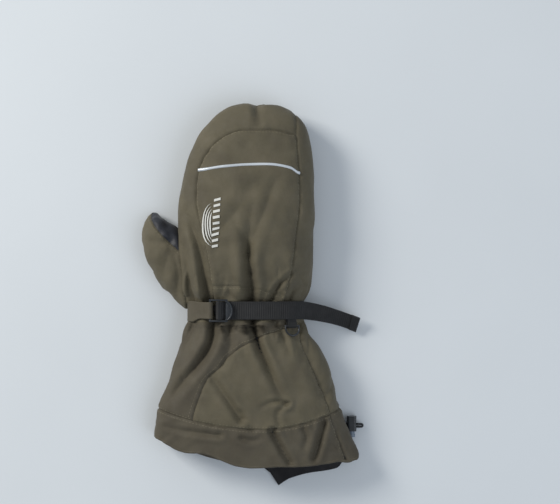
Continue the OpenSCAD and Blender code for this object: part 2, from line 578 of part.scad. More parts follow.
// Cord lock: a sprung plunger in a barrel, with a window through both for the cords
lock_wall = 1.6;
plunger_clear = 0.12;
bore_r = min(lock_w, lock_h) / 2 - 1.5;
plunger_r = bore_r - plunger_clear;
window_y = 2 * cord_d + strand_gap + 2 * lock_clear;
window_z = cord_d + 2 * lock_clear;
lock_y0 = -lock_l / 2 + 2;
bore_end = lock_y0 + lock_l - lock_wall;
plunger_end = window_y / 2 + 1.3;
button_t = 3;
lock_round = 2.4;
function round_box(w, h, r) =
    [for (q = [[1, 1, 0], [-1, 1, 90], [-1, -1, 180], [1, -1, 270]], a = steps(q[2], q[2] + 90, 5))
        [q[0] * (w / 2 - r) + r * cos(a), q[1] * (h / 2 - r) + r * sin(a)]];
module at_lock() translate([lock_x + lock_w / 2, slit_place[1], lock_z]) children();
module cord_lock_body() color(plastic_black) at_origin() at_lock() difference() {
    plate(round_box(lock_w, lock_h, lock_round), lock_y0 + lock_l / 2, lock_l);
    along_y(0, (lock_y0 - 1 + bore_end) / 2, 0, bore_r, bore_end - lock_y0 + 1, 48);
    cube([lock_w + 2, window_y, window_z], center = true);
}
module cord_lock_plunger() color(plastic_black) at_origin() at_lock() difference() {
    union() {
        along_y(0, (lock_y0 - press_l - 1 + plunger_end) / 2, 0, plunger_r,
            plunger_end - lock_y0 + press_l + 1, 48);
        along_y(0, lock_y0 - press_l - 0.4 - button_t / 2, 0, plunger_r + 0.6, button_t, 48);
    }
    translate([0, -press_l / 2, 0]) cube([lock_w + 2, window_y + press_l, window_z], center = true);
}
spring_wire = 0.25;
spring_r = plunger_r - 0.9;
spring_turns = 2;
spring_low = plunger_end + spring_wire + 0.1;
spring_high = bore_end - spring_wire - 0.1;
module cord_lock_spring() color(silver) at_origin() at_lock()
    round_bar([for (t = steps(0, 1, 12 * spring_turns))
        [spring_r * cos(360 * spring_turns * t), mix(spring_low, spring_high, t),
            spring_r * sin(360 * spring_turns * t)]],
        spring_wire, 5);

// The origin is on the floor, in the middle of the whole mitten's length and width
low_x = min([for (k = steps(0, 1, thumb_rows)) thumb_at(k, 1, 0)[0]]);
high_x = max(tail_end_x + stop_l, loop_x + strand_y + cord_r);
low_y = min([for (u = cuff_columns(mouth_y)) section_at(mouth_y - binding_l, u, 0)[1]]);
high_y = section_at(hand_rows[tip_row], 0, 0)[1];
module at_origin() translate([-(low_x + high_x) / 2, -(low_y + high_y) / 2, 0]) children();

back_panel();
fingertip_yoke();
thumb_side_wall();
thumb_side_wall_lower();
pinky_side_wall();
palm_patch_upper();
palm_patch_lower();
reflective_piping();
back_emblem();
wrist_back_panel();
wrist_palm_panel();
wrist_elastic();
throat_back_panel();
throat_palm_panel();
gauntlet_back_thumb_side();
gauntlet_back_pinky_side();
gauntlet_side_strip();
gauntlet_palm_panel();
hem_band_back();
hem_band_palm();
hem_binding();
thumb_back_panel();
thumb_inner_patch();
thumb_grip_patch();
thumb_gusset();
hand_insulation_back();
hand_insulation_palm();
waterproof_insert();
hand_lining();
thumb_insulation();
thumb_lining();
wrist_lining();
throat_lining();
gauntlet_lining();
wrist_strap();
wrist_strap_turn();
wrist_strap_tail();
strap_stop();
strap_anchor_patch();
buckle_tab();
ladder_lock_buckle();
d_ring_tab();
d_ring();
drawcord();
drawcord_loop();
drawcord_anchor();
cord_lock_body();
cord_lock_plunger();
cord_lock_spring();
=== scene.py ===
"""Ski mitten: fabric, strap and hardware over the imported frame, with studio light and camera."""

import logging
import math
from collections.abc import Callable, Sequence
from dataclasses import dataclass, field
from enum import Enum

import bpy
import numpy as np
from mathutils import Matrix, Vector
from mathutils.bvhtree import BVHTree
from mathutils.kdtree import KDTree


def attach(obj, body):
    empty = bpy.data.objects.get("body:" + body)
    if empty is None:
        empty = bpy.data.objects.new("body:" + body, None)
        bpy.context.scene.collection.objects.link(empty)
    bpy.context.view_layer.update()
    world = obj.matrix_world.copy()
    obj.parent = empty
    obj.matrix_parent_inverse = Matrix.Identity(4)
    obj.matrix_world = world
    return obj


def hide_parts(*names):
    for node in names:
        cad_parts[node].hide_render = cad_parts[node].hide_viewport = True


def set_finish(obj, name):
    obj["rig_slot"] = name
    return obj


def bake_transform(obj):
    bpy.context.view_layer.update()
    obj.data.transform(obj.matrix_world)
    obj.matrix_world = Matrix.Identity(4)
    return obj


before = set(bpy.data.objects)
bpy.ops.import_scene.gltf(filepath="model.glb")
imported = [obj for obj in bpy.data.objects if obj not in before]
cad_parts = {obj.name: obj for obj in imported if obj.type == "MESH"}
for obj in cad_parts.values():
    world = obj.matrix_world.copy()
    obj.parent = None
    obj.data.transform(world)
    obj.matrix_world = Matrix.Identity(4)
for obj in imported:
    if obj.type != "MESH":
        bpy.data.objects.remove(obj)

LOG = logging.getLogger("mitten")
MM = 0.001
SHIFT = np.array([-1.231, -23.811, 0.0])  # from the pattern's own origin, at the strap, to the row frame
ACROSS = np.array([0.0, 1.0, 0.0])  # across the strap, which is along the mitten
Grid = np.ndarray
Row = tuple[Grid, Grid, Grid]
Keys = Sequence[tuple[float, float]]


class Edge(Enum):
    """The sides of a sewn panel."""

    FIRST = "first"
    LAST = "last"
    START = "start"
    END = "end"


def linear(code: str) -> tuple[float, float, float, float]:
    """Turn an sRGB hex colour to linear.

    Args:
        code: six hex digits.

    Returns:
        Linear red, green, blue and an alpha of one.
    """
    parts = [int(code[i : i + 2], 16) / 255 for i in (0, 2, 4)]
    r, g, b = [c / 12.92 if c <= 0.04045 else ((c + 0.055) / 1.055) ** 2.4 for c in parts]
    return (r, g, b, 1.0)


def row_frame(points: Grid) -> Grid:
    """Points of the pattern in millimetres, moved to the row frame in metres."""
    return (np.asarray(points, float) + SHIFT) * MM


def ease(t: Grid) -> Grid:
    """Smooth step from 0 to 1."""
    t = np.clip(t, 0, 1)
    return t * t * (3 - 2 * t)


def walked(line: Grid) -> Grid:
    """Length walked along a line at each of its points, from 0."""
    return np.concatenate([[0], np.linalg.norm(np.diff(line, axis=0), axis=1).cumsum()])


def resample(line: Grid, walk: Grid, marks: Grid) -> Grid:
    """A line of points or directions in space, read at marks along its walk."""
    return np.stack([np.interp(marks, walk, line[:, k]) for k in range(3)], -1)


def unit(vectors: Grid) -> Grid:
    """Vectors of length 1."""
    return vectors / (np.linalg.norm(vectors, axis=-1, keepdims=True) + 1e-9)


def smooth_keys(keys: Keys, v: Grid) -> Grid:
    """Interpolate keys with a monotone cubic.

    Args:
        keys: pairs of place and value, in rising order of place.
        v: places to read.

    Returns:
        The values at v.
    """
    table = np.array(keys, float)
    x, y = table[:, 0], table[:, 1]
    h, rise = np.diff(x), np.diff(y) / np.diff(x)
    slope = np.zeros(len(x))
    for i in range(1, len(x) - 1):
        a, b = rise[i - 1], rise[i]
        slope[i] = 0 if a * b <= 0 else 2 * a * b / (a + b)
    v = np.asarray(v, float)
    i = np.clip(np.searchsorted(x, v) - 1, 0, len(x) - 2)
    t = np.clip((v - x[i]) / h[i], 0, 1)
    return (
        (2 * t**3 - 3 * t**2 + 1) * y[i]
        + (t**3 - 2 * t**2 + t) * slope[i] * h[i]
        + (3 * t**2 - 2 * t**3) * y[i + 1]
        + (t**3 - t**2) * slope[i + 1] * h[i]
    )


def ripple(points: Grid, wave: float, seed: int) -> Grid:
    """A smooth random field of about -1 to 1, made of waves in many directions.

    Args:
        points: places in millimetres.
        wave: the usual wavelength in millimetres.
        seed: which field.

    Returns:
        The field at each point.
    """
    rng = np.random.default_rng(seed)
    total = np.zeros(points.shape[:-1])
    for _ in range(14):
        way = rng.normal(size=3)
        way *= 2 * math.pi / (wave * rng.uniform(0.7, 1.6) * np.linalg.norm(way))
        total += np.sin(points @ way + rng.uniform(0, 6.28))
    return total / 5.2


# ---------------------------------------------------------------- finishes


def add(tree: bpy.types.NodeTree, kind: str, settings: dict | None = None,
        links: dict | None = None) -> bpy.types.Node:
    """Add one node.

    Args:
        tree: the material's node tree.
        kind: the node's type.
        settings: values for its properties or inputs, by name or number.
        links: output sockets for its inputs, by name or number.

    Returns:
        The node.
    """
    node = tree.nodes.new(kind)
    for key, value in (settings or {}).items():
        if isinstance(key, str) and hasattr(node, key):
            setattr(node, key, value)
        else:
            node.inputs[key].default_value = value
    for key, socket in (links or {}).items():
        tree.links.new(socket, node.inputs[key])
    return node


def relief(tree: bpy.types.NodeTree, height: bpy.types.NodeSocket, distance: float,
           under: bpy.types.NodeSocket | None = None, **settings: object) -> bpy.types.NodeSocket:
    """A bump of a distance in metres, over another bump if one is given."""
    links = {"Height": height} if under is None else {"Height": height, "Normal": under}
    return add(tree, "ShaderNodeBump", {"Strength": 1.0, "Distance": distance, **settings},
               links).outputs[0]


@dataclass(frozen=True)
class Finish:
    """One real material and how its surface was made."""

    name: str
    slot: str
    colours: tuple[str, str, str]
    roughness: float
    blotch_mm: float = 30.0
    ior: float = 1.5
    sheen: float = 0.0
    metallic: float = 0.0

    def material(self) -> bpy.types.Material:
        """Make the material, or give the one already made."""
        made = bpy.data.materials.get(self.name)
        if made:
            return made
        made = bpy.data.materials.new(self.name)
        made.use_nodes = True
        tree = made.node_tree
        shader = tree.nodes["Principled BSDF"]
        shader.inputs["IOR"].default_value = self.ior
        shader.inputs["Metallic"].default_value = self.metallic
        shader.inputs["Sheen Weight"].default_value = self.sheen
        shader.inputs["Sheen Roughness"].default_value = 0.45
        place = add(tree, "ShaderNodeTexCoord").outputs["Object"]
        colour = self.colour(tree, place)
        tree.links.new(colour, shader.inputs["Base Color"])
        rough = add(
            tree,
            "ShaderNodeMapRange",
            {"From Min": 0.3, "From Max": 0.7, "To Min": self.roughness - 0.07,
             "To Max": self.roughness + 0.07},
            {"Value": self.noise(tree, place, self.blotch_mm * 0.3).outputs[0]},
        )
        tree.links.new(rough.outputs[0], shader.inputs["Roughness"])
        bump = self.bump(tree, place)
        if bump is not None:
            tree.links.new(bump, shader.inputs["Normal"])
        return made

    def noise(self, tree: bpy.types.NodeTree, place: bpy.types.NodeSocket,
              size_mm: float) -> bpy.types.Node:
        """A noise whose spots are about size_mm across."""
        return add(tree, "ShaderNodeTexNoise", {"Scale": 1000 / size_mm, "Detail": 4.0}, {"Vector": place})

    def colour(self, tree: bpy.types.NodeTree, place: bpy.types.NodeSocket) -> bpy.types.NodeSocket:
        """Colour that drifts between three close shades, as dye and handling leave it."""
        ramp = add(tree, "ShaderNodeValToRGB", {},
                   {"Fac": self.noise(tree, place, self.blotch_mm).outputs[0]})
        stops = ramp.color_ramp.elements
        stops.new(0.5)
        for stop, position, code in zip(stops, (0.3, 0.5, 0.72), self.colours):
            stop.position = position
            stop.color = linear(code)
        return ramp.outputs["Color"]

    def bump(self, tree: bpy.types.NodeTree, place: bpy.types.NodeSocket) -> bpy.types.NodeSocket | None:
        """The surface's relief; a plain finish has only a faint mottle."""
        return relief(tree, self.noise(tree, place, 2.5).outputs[0], 0.0002, Strength=0.35)


@dataclass(frozen=True)
class WovenFinish(Finish):
    """Cloth with a thread pattern in its own lay, held in the attribute named lay, in millimetres."""

    thread_mm: float = 1.0  # real threads are a quarter of this, too fine to show, so these are coarser
    thread_depth_mm: float = 0.12
    crumple_mm: float = 9.0
    crumple_depth_mm: float = 0.5
    along_only: bool = False

    def colour(self, tree: bpy.types.NodeTree, place: bpy.types.NodeSocket) -> bpy.types.NodeSocket:
        """The drifting dye, darker between the threads."""
        base = super().colour(tree, place)
        weave = self.weave(tree)
        shade = add(tree, "ShaderNodeMapRange", {"To Min": 0.84, "To Max": 1.06}, {"Value": weave})
        return add(
            tree, "ShaderNodeVectorMath", {"operation": "MULTIPLY"}, {0: base, 1: shade.outputs[0]}
        ).outputs[0]

    def weave(self, tree: bpy.types.NodeTree) -> bpy.types.NodeSocket:
        """Height of the threads, from 0 to 1."""
        lay = add(tree, "ShaderNodeAttribute", {"attribute_name": "lay"}).outputs["Vector"]
        scale = 2 * math.pi / 20 / self.thread_mm
        look = {"Scale": scale, "Distortion": 0.4, "Detail Scale": 0.6}
        threads = [
            add(tree, "ShaderNodeTexWave", {"bands_direction": way, **look}, {"Vector": lay}).outputs["Fac"]
            for way in ("X" if self.along_only else "XY")
        ]
        if self.along_only:
            return threads[0]
        return add(tree, "ShaderNodeMath", {"operation": "MULTIPLY"}, dict(enumerate(threads))).outputs[0]

    def bump(self, tree: bpy.types.NodeTree, place: bpy.types.NodeSocket) -> bpy.types.NodeSocket | None:
        """Threads over small crumples."""
        low = relief(tree, self.noise(tree, place, self.crumple_mm).outputs[0], self.crumple_depth_mm * MM)
        return relief(tree, self.weave(tree), self.thread_depth_mm * MM, low)


@dataclass(frozen=True)
class PebbledFinish(Finish):
    """Coated cloth or leather with a pressed grain."""

    grain_mm: float = 1.1
    grain_depth_mm: float = 0.16

    def bump(self, tree: bpy.types.NodeTree, place: bpy.types.NodeSocket) -> bpy.types.NodeSocket | None:
        """Rounded cells between fine creases."""
        cells = add(
            tree,
            "ShaderNodeTexVoronoi",
            {"feature": "SMOOTH_F1", "Scale": 1000 / self.grain_mm, "Smoothness": 0.6},
            {"Vector": place},
        )
        low = relief(tree, self.noise(tree, place, 14).outputs[0], 0.0006)
        return relief(tree, cells.outputs["Distance"], self.grain_depth_mm * MM, low, invert=True)


# Nylon with a soft dull dye: reads as matt olive with a faint glow on the folds
SHELL = WovenFinish("dull_olive_nylon_taslan", "shell_fabric", ("524c3c", "5a5442", "625b49"), 0.76,
                    sheen=0.06)
# The same cloth a little darker, as painted shade for the hem bands, the binding, the buckle tab and the
# gauntlet's thumb side
SHADED_CLOTH = WovenFinish("dull_olive_nylon_painted_shade", "shell_fabric", ("464033", "4d4739", "544e3f"), 0.74,
                   sheen=0.05)
# Coated navy cloth with a pressed grain: dark, with broken soft highlights
PALM = PebbledFinish("navy_coated_grip_cloth", "grip_fabric", ("14161e", "191c25", "20242d"), 0.55,
                     sheen=0.05)
# Glass-bead tape: pale silver grey, with a fine sparkle
TAPE = PebbledFinish(
    "silver_glass_bead_tape", "reflective_tape", ("b4bbc3", "c2c9d0", "d2d8de"), 0.34, metallic=0.25,
    grain_mm=0.5, grain_depth_mm=0.05,
)
# Screen ink on cloth: flat off-white that lets the weave through
INK = WovenFinish("off_white_screen_ink", "emblem_print", ("c6c7c2", "d6d7d2", "e2e3de"), 0.6,
                  crumple_depth_mm=0.1)
# Covered rubber: black with fine ribs
ELASTIC = WovenFinish("black_ribbed_elastic", "elastic", ("17181a", "1e1f22", "26272a"), 0.75,
                      thread_mm=1.4, along_only=True)
# Brushed tricot: soft black that eats the light
LINING = WovenFinish("black_brushed_tricot", "lining_fabric", ("17171a", "1d1d20", "252528"), 0.92,
                     sheen=0.25)
# Spun polyester: white and lofty
WADDING = WovenFinish("white_polyester_wadding", "insulation", ("cfd0cc", "dadbd8", "e6e7e4"), 0.95,
                      crumple_depth_mm=1.2)
# Cast polyurethane film: milky and a little glossy
FILM = Finish("milky_polyurethane_film", "insert_film", ("b9c0c4", "c8cfd2", "d6dcdf"), 0.3)
# Flat polyester webbing: black, cross-ribbed, dull with a pale bloom on the ribs
WEBBING = WovenFinish(
    "black_polyester_webbing", "webbing", ("08090b", "0c0e11", "111417"), 0.68, thread_mm=1.1,
    thread_depth_mm=0.1, crumple_depth_mm=0.1, sheen=0.08,
)
# Braided cord: black with a tight twist
CORD = WovenFinish("black_braided_cord", "elastic_cord", ("18191c", "222428", "2c2f33"), 0.6, thread_mm=0.9)
# Moulded acetal: black, satin, worn a little pale
ACETAL = PebbledFinish(
    "black_moulded_acetal", "moulded_plastic", ("1b1e22", "23272c", "2f343a"), 0.3, ior=1.48, grain_mm=0.6,
    grain_depth_mm=0.02,
)
# Moulded acetal in grey-blue: the plunger
ACETAL_GREY = PebbledFinish(
    "grey_blue_moulded_acetal", "plunger_plastic", ("5c6977", "687584", "74818f"), 0.38, ior=1.48,
    grain_mm=0.6, grain_depth_mm=0.02,
)
# Drawn spring steel: bright, with fine draw marks
STEEL = Finish("drawn_spring_steel", "spring_steel", ("a8abaf", "b8bbbf", "c8cbce"), 0.28, metallic=1.0)
# Polyester sewing thread, a shade lighter than the cloth so that each stitch catches the light
THREAD = Finish("olive_polyester_thread", "shell_fabric", ("6a6450", "746e59", "807963"), 0.6, sheen=0.1)
THREAD_DARK = Finish("navy_polyester_thread", "grip_fabric", ("2b303b", "343a46", "3e4450"), 0.5, sheen=0.3)
# Matt studio paper: pale blue-grey
PAPER = Finish("pale_blue_grey_paper", "none", ("ced4d9", "d0d6db", "d2d8dd"), 0.9, blotch_mm=300)


# ---------------------------------------------------------------- meshes


def make_mesh(name: str, points: Grid, faces: list, finish: Finish,
              lay: Grid | None = None) -> bpy.types.Object:
    """Make a smooth-shaded mesh piece.

    Args:
        name: the piece's name.
        points: vertices in millimetres, in the pattern's frame.
        faces: vertex numbers of each face.
        finish: its material.
        lay: cloth coordinates of each vertex, in millimetres.

    Returns:
        The object.
    """
    mesh = bpy.data.meshes.new(name)
    mesh.from_pydata([tuple(p) for p in row_frame(points).reshape(-1, 3)], [], faces)
    mesh.update()
    mesh.validate()
    mesh.shade_smooth()
    flat = np.zeros((len(mesh.vertices), 3), np.float32)
    if lay is not None:
        flat[:, :2] = np.asarray(lay).reshape(-1, 2)
    else:
        flat[:] = np.asarray(points).reshape(-1, 3)
    mesh.attributes.new("lay", "FLOAT_VECTOR", "POINT").data.foreach_set("vector", flat.ravel())
    mesh.materials.append(finish.material())
    piece = bpy.data.objects.new(name, mesh)
    bpy.context.collection.objects.link(piece)
    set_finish(piece, finish.slot)
    return piece


def grid_faces(rows: int, columns: int, ring: bool = False) -> list:
    """Quads of a grid of vertices.

    Args:
        rows: number of rows.
        columns: number of columns.
        ring: whether each row closes on itself.

    Returns:
        Vertex numbers of each face.
    """
    steps = columns if ring else columns - 1
    return [
        (
            i * columns + j,
            (i + 1) * columns + j,
            (i + 1) * columns + (j + 1) % columns,
            i * columns + (j + 1) % columns,
        )
        for i in range(rows - 1)
        for j in range(steps)
    ]


def flipped(faces: list) -> list:
    """The same faces, looking the other way."""
    return [tuple(reversed(f)) for f in faces]


def arc_lay(points: Grid) -> Grid:
    """Cloth coordinates of a grid: length across each row and along the middle column, in millimetres."""
    across = np.linalg.norm(np.diff(points, axis=1), axis=-1).cumsum(axis=1)
    across = np.concatenate([np.zeros((len(points), 1)), across], axis=1)
    across -= across[:, [across.shape[1] // 2]]
    middle = points[:, points.shape[1] // 2]
    along = walked(middle)
    return np.stack([across, np.broadcast_to(along[:, None], across.shape)], -1)


# ---------------------------------------------------------------- the form and its cloth


def cut_size(points: Grid) -> tuple[tuple[float, float], float]:
    """The flat size a grid of cloth is cut to: width, length and area, in metres."""
    down, over = np.diff(points, axis=0), np.diff(points, axis=1)
    wide = np.linalg.norm(over, axis=-1).sum(axis=1).max() * MM
    long_ = np.linalg.norm(down, axis=-1).sum(axis=0).max() * MM
    first, second = np.cross(down[:, :-1], over[:-1]), np.cross(down[:, 1:], over[1:])
    halves = np.linalg.norm(first, axis=-1) + np.linalg.norm(second, axis=-1)
    return (float(wide), float(long_)), float(halves.sum() / 2 * MM * MM)


@dataclass(frozen=True)
class Form:
    """The mitten's stuffed form: sections along its length, in millimetres."""

    half_widths: Keys = (
        (-165, 112), (-145, 108.5), (-123, 103.5), (-103, 98.3), (-73, 88.8), (-48, 78.3), (-36, 71.5),
        (-25, 65), (-10, 60), (0, 59.6), (10, 60.2), (26.5, 66), (53, 70), (74, 71.4), (92, 71.7),
        (222, 71.7),
    )
    centres: Keys = (
        (-165, 8.5), (-145, 7), (-123, 3.8), (-103, 1.6), (-73, 1.4), (-48, -0.6), (-36, -3), (-25, -5),
        (0, -4.1), (26.5, -3.8), (53, -3.9), (92, -4.2), (222, -4.2),
    )
    tops: Keys = (
        (-165, 42), (-145, 42), (-98, 46), (-43, 50), (-13, 44.2), (10, 44.2), (26, 50), (60, 57), (92, 58),
        (222, 58),
    )
    lows: Keys = ((-165, 0), (-55, 0), (-35, 2), (-13, 5), (10, 5), (36, 0), (222, 0))
    knuckle: float = 92.0
    length: float = 219.5
    dome: float = 2.6
    lean: float = 15.0
    top_power: float = 2.5
    low_power: float = 3.2
    middle: float = 0.43

    def section(self, y: Grid, u: Grid, inset: float = 0.0) -> Grid:
        """Points of the form.

        Args:
            y: places along its length.
            u: angle round it in degrees, from the little finger edge over the back.
            inset: depth under the surface.

        Returns:
            Points in millimetres.
        """
        y, u = np.broadcast_arrays(np.asarray(y, float), np.radians(u))
        q = np.clip((y - self.knuckle) / (self.length - self.knuckle), 0, 1)
        dome = (1 - q**self.dome) ** (1 / self.dome)
        top_z, low_z = smooth_keys(self.tops, y), smooth_keys(self.lows, y)
        middle = low_z + self.middle * (top_z - low_z)
        c, s = np.cos(u), np.sin(u)
        top = s >= 0
        power = np.where(top, self.top_power, self.low_power)
        wide = np.maximum(smooth_keys(self.half_widths, y) * dome - inset, 0.5)
        tall = np.maximum(np.where(top, top_z - middle, middle - low_z) * dome - inset, 0.5)
        x = smooth_keys(self.centres, y) + self.lean * q * q + wide * np.sign(c) * np.abs(c) ** (2 / power)
        rise = np.abs(s) ** (2 / power)
        z = middle + np.where(top, rise, -np.minimum(1, rise * 1.1)) * tall
        low = np.clip((-51 - y) / 89, 0, 1.25)
        across = np.clip(x / 106, -1.05, 1.05)
        return np.stack([x, y - low * (25 * (1 - across**2) + 9 * across), z], -1)

    def angle_at(self, y: Grid, x: Grid) -> Grid:
        """Angle on the back where the form's surface is at x."""
        q = np.clip((y - self.knuckle) / (self.length - self.knuckle), 0, 1)
        wide = smooth_keys(self.half_widths, y) * (1 - q**self.dome) ** (1 / self.dome)
        share = np.clip((x - smooth_keys(self.centres, y) - self.lean * q * q) / np.maximum(wide, 1),
                        -0.999, 0.999)
        return np.degrees(np.arccos(np.sign(share) * np.abs(share) ** (self.top_power / 2)))


@dataclass
class Cloth:
    """A sheet of cloth over a form, settled by simulation and then read anywhere by place and angle."""

    places: Grid
    angles: Grid
    points: Grid
    normals: Grid = field(init=False)
    lookup: Grid = field(init=False)
    fine: int = 1440

    def __post_init__(self) -> None:
        """Work out the normals and the table from angle to column."""
        self.normals = outward(self.points)
        columns = self.points.shape[1]
        turns = np.linspace(-90, 270, self.fine + 1)
        steps = np.arange(columns + 1)
        self.lookup = np.array([np.interp(turns, [*row, 270.0], steps) for row in self.angles])

    def finer(self) -> "Cloth":
        """The same cloth on a grid twice as fine."""
        ring = np.concatenate([self.angles, self.angles[:, :1] + 360], 1)
        wide = np.stack([ring[:, :-1], (ring[:, :-1] + ring[:, 1:]) / 2], -1).reshape(len(ring), -1)
        tall = np.stack([wide[:-1], (wide[:-1] + wide[1:]) / 2], 1).reshape(-1, wide.shape[1])
        tall = np.concatenate([tall, wide[-1:]])
        places = np.interp(np.arange(len(tall)) / 2, np.arange(len(self.places)), self.places)
        return Cloth(places, tall, self.at(places[:, None], tall)[0])

    def at(self, y: Grid, u: Grid) -> tuple[Grid, Grid]:
        """Read the cloth.

        Args:
            y: places along the form.
            u: angles round it in degrees.

        Returns:
            Points in millimetres and unit normals.
        """
        y, u = np.broadcast_arrays(np.asarray(y, float), np.asarray(u, float))
        rows, columns = self.points.shape[:2]
        r = np.interp(y, self.places, np.arange(rows))
        i = np.clip(np.floor(r).astype(int), 0, rows - 2)
        t = r - i
        turn = ((u + 90) % 360) / 360 * self.fine
        k = np.clip(np.floor(turn).astype(int), 0, self.fine - 1)
        f = turn - k
        low = self.lookup[i, k] * (1 - f) + self.lookup[i, k + 1] * f
        high = self.lookup[i + 1, k] * (1 - f) + self.lookup[i + 1, k + 1] * f
        c = low * (1 - t) + high * t
        j = np.floor(c).astype(int)
        s = c - j
        point, normal = 0.0, 0.0
        for a, wa in zip((-1, 0, 1, 2), self.spline(t)):
            for b, wb in zip((-1, 0, 1, 2), self.spline(s)):
                ii, jj = np.clip(i + a, 0, rows - 1), (j + b) % columns
                point = point + self.points[ii, jj] * (wa * wb)[..., None]
                normal = normal + self.normals[ii, jj] * (wa * wb)[..., None]
        return point, unit(normal)

    @staticmethod
    def spline(t: Grid) -> tuple[Grid, Grid, Grid, Grid]:
        """Weights of the four neighbours of a place between two grid lines."""
        return (
            (-t + 2 * t**2 - t**3) / 2,
            (2 - 5 * t**2 + 3 * t**3) / 2,
            (t + 4 * t**2 - 3 * t**3) / 2,
            (t**3 - t**2) / 2,
        )


@dataclass(frozen=True)
class Crease:
    """A fold pressed into the upper side of the cloth along a line."""

    line: tuple[tuple[float, float], ...]
    depth: tuple[float, float]
    width: float

    def press(self, points: Grid, up: Grid) -> Grid:
        """Push the cloth down along the line and raise it a little on both sides.

        Args:
            points: the cloth.
            up: how far each point faces up, 0 to 1.

        Returns:
            The cloth with its fold.
        """
        line = np.array(self.line, float)
        walk = walked(line)
        marks = np.linspace(0, walk[-1], max(8, int(walk[-1] / 2)))
        fine = np.stack([smooth_keys(list(zip(walk, line[:, k])), marks) for k in (0, 1)], -1)
        away = np.linalg.norm(points[..., None, :2] - fine, axis=-1)
        nearest = away.argmin(axis=-1)
        share = nearest / (len(fine) - 1)
        away = np.take_along_axis(away, nearest[..., None], -1)[..., 0]
        depth = self.depth[0] * (1 - share) + self.depth[1] * share
        clear = np.clip((np.abs(points[..., 1]) - 11) / 9, 0, 1)
        dip = -np.exp(-((away / self.width) ** 1.35))
        dip = dip + 0.34 * clear * np.exp(-(((away - 1.8 * self.width) / self.width) ** 2))
        points = points.copy()
        points[..., 2] += depth * dip * up
        return points


@dataclass
class SeamMap:
    """Every seam line on a cloth, so that panels dip to it wherever it runs."""

    lines: list[tuple[Grid, float]] = field(default_factory=list)

    def add(self, line: Grid, strength: float = 1.0) -> None:
        """Note a seam line and how deep it is, 0 to 1."""
        walk = walked(line)
        marks = np.linspace(0, walk[-1], max(4, int(walk[-1] / 0.8)))
        self.lines.append((resample(line, walk, marks), strength))

    def near(self, points: Grid) -> tuple[Grid, Grid]:
        """Distance to the nearest seam, and that seam's strength, for each point."""
        tree = KDTree(sum(len(line) for line, _ in self.lines))
        strengths = []
        for line, strength in self.lines:
            for point in line:
                tree.insert(point, len(strengths))
                strengths.append(strength)
        tree.balance()
        found = [tree.find(p) for p in points.reshape(-1, 3)]
        away = np.array([f[2] for f in found]).reshape(points.shape[:-1])
        return away, np.array([strengths[f[1]] for f in found]).reshape(points.shape[:-1])


@dataclass
class Drape:
    """Settles a closed tube of cloth that was cut larger than the form it is gathered on."""

    frames: int = 24
    pressure: float = 1.0
    cap: float = 16.0
    bending: float = 0.25

    def settle(self, form: Grid, start: Grid, cut: Grid, pins: Grid) -> Grid:
        """Run the cloth simulation.

        Args:
            form: the form's points, row by row.
            start: where the cloth starts.
            cut: the cloth's shape as cut, which its edges try to reach.
            pins: how firmly each row is held, 0 to 1.

        Returns:
            The settled points.
        """
        rows, columns = form.shape[:2]
        scale = 0.01
        faces = grid_faces(rows, columns, ring=True)
        last = rows * columns
        faces += [
            (last, (rows - 1) * columns + (j + 1) % columns,
             (rows - 1) * columns + j) for j in range(columns)
        ]
        mesh = bpy.data.meshes.new("drape")
        with_tip = lambda grid: np.vstack([grid.reshape(-1, 3), grid[-1].mean(axis=0)]) * scale
        mesh.from_pydata([tuple(p) for p in with_tip(start)], [], faces)
        mesh.update()
        body = bpy.data.objects.new("drape", mesh)
        bpy.context.collection.objects.link(body)
        body.shape_key_add(name="Basis")
        key = body.shape_key_add(name="cut")
        key.data.foreach_set("co", with_tip(cut).astype(np.float32).ravel())
        key.value = 0
        held = body.vertex_groups.new(name="held")
        for i, pin in enumerate(pins):
            held.add(list(range(i * columns, (i + 1) * columns)), float(pin), "REPLACE")
        held.add([last], float(pins[-1]), "REPLACE")
        cloth = body.modifiers.new("cloth", "CLOTH")
        settings = cloth.settings
        settings.quality = 6
        settings.mass = 0.3
        settings.tension_stiffness = settings.compression_stiffness = 20
        settings.shear_stiffness = 8
        settings.bending_stiffness = self.bending
        settings.air_damping = 2
        settings.use_pressure = True
        settings.uniform_pressure_force = self.pressure
        settings.effector_weights.gravity = 0
        settings.vertex_group_mass = "held"
        settings.rest_shape_key = key
        cloth.collision_settings.use_collision = False
        cloth.point_cache.frame_start, cloth.point_cache.frame_end = 1, self.frames
        for number in range(1, self.frames + 1):
            bpy.context.scene.frame_set(number)
        settled = body.evaluated_get(bpy.context.evaluated_depsgraph_get()).data
        points = np.empty(len(settled.vertices) * 3, np.float32)
        settled.vertices.foreach_get("co", points)
        points = points.reshape(-1, 3)[: rows * columns].reshape(form.shape) / scale
        bpy.data.objects.remove(body)
        bpy.context.scene.frame_set(1)
        moved = points - form
        size = np.linalg.norm(moved, axis=-1, keepdims=True) + 1e-9
        return form + moved * (self.cap * np.tanh(size / self.cap) / size)


def outward(points: Grid) -> Grid:
    """Unit normals of a ring grid."""
    return unit(np.cross(np.gradient(points, axis=0), np.roll(points, -1, 1) - np.roll(points, 1, 1)))


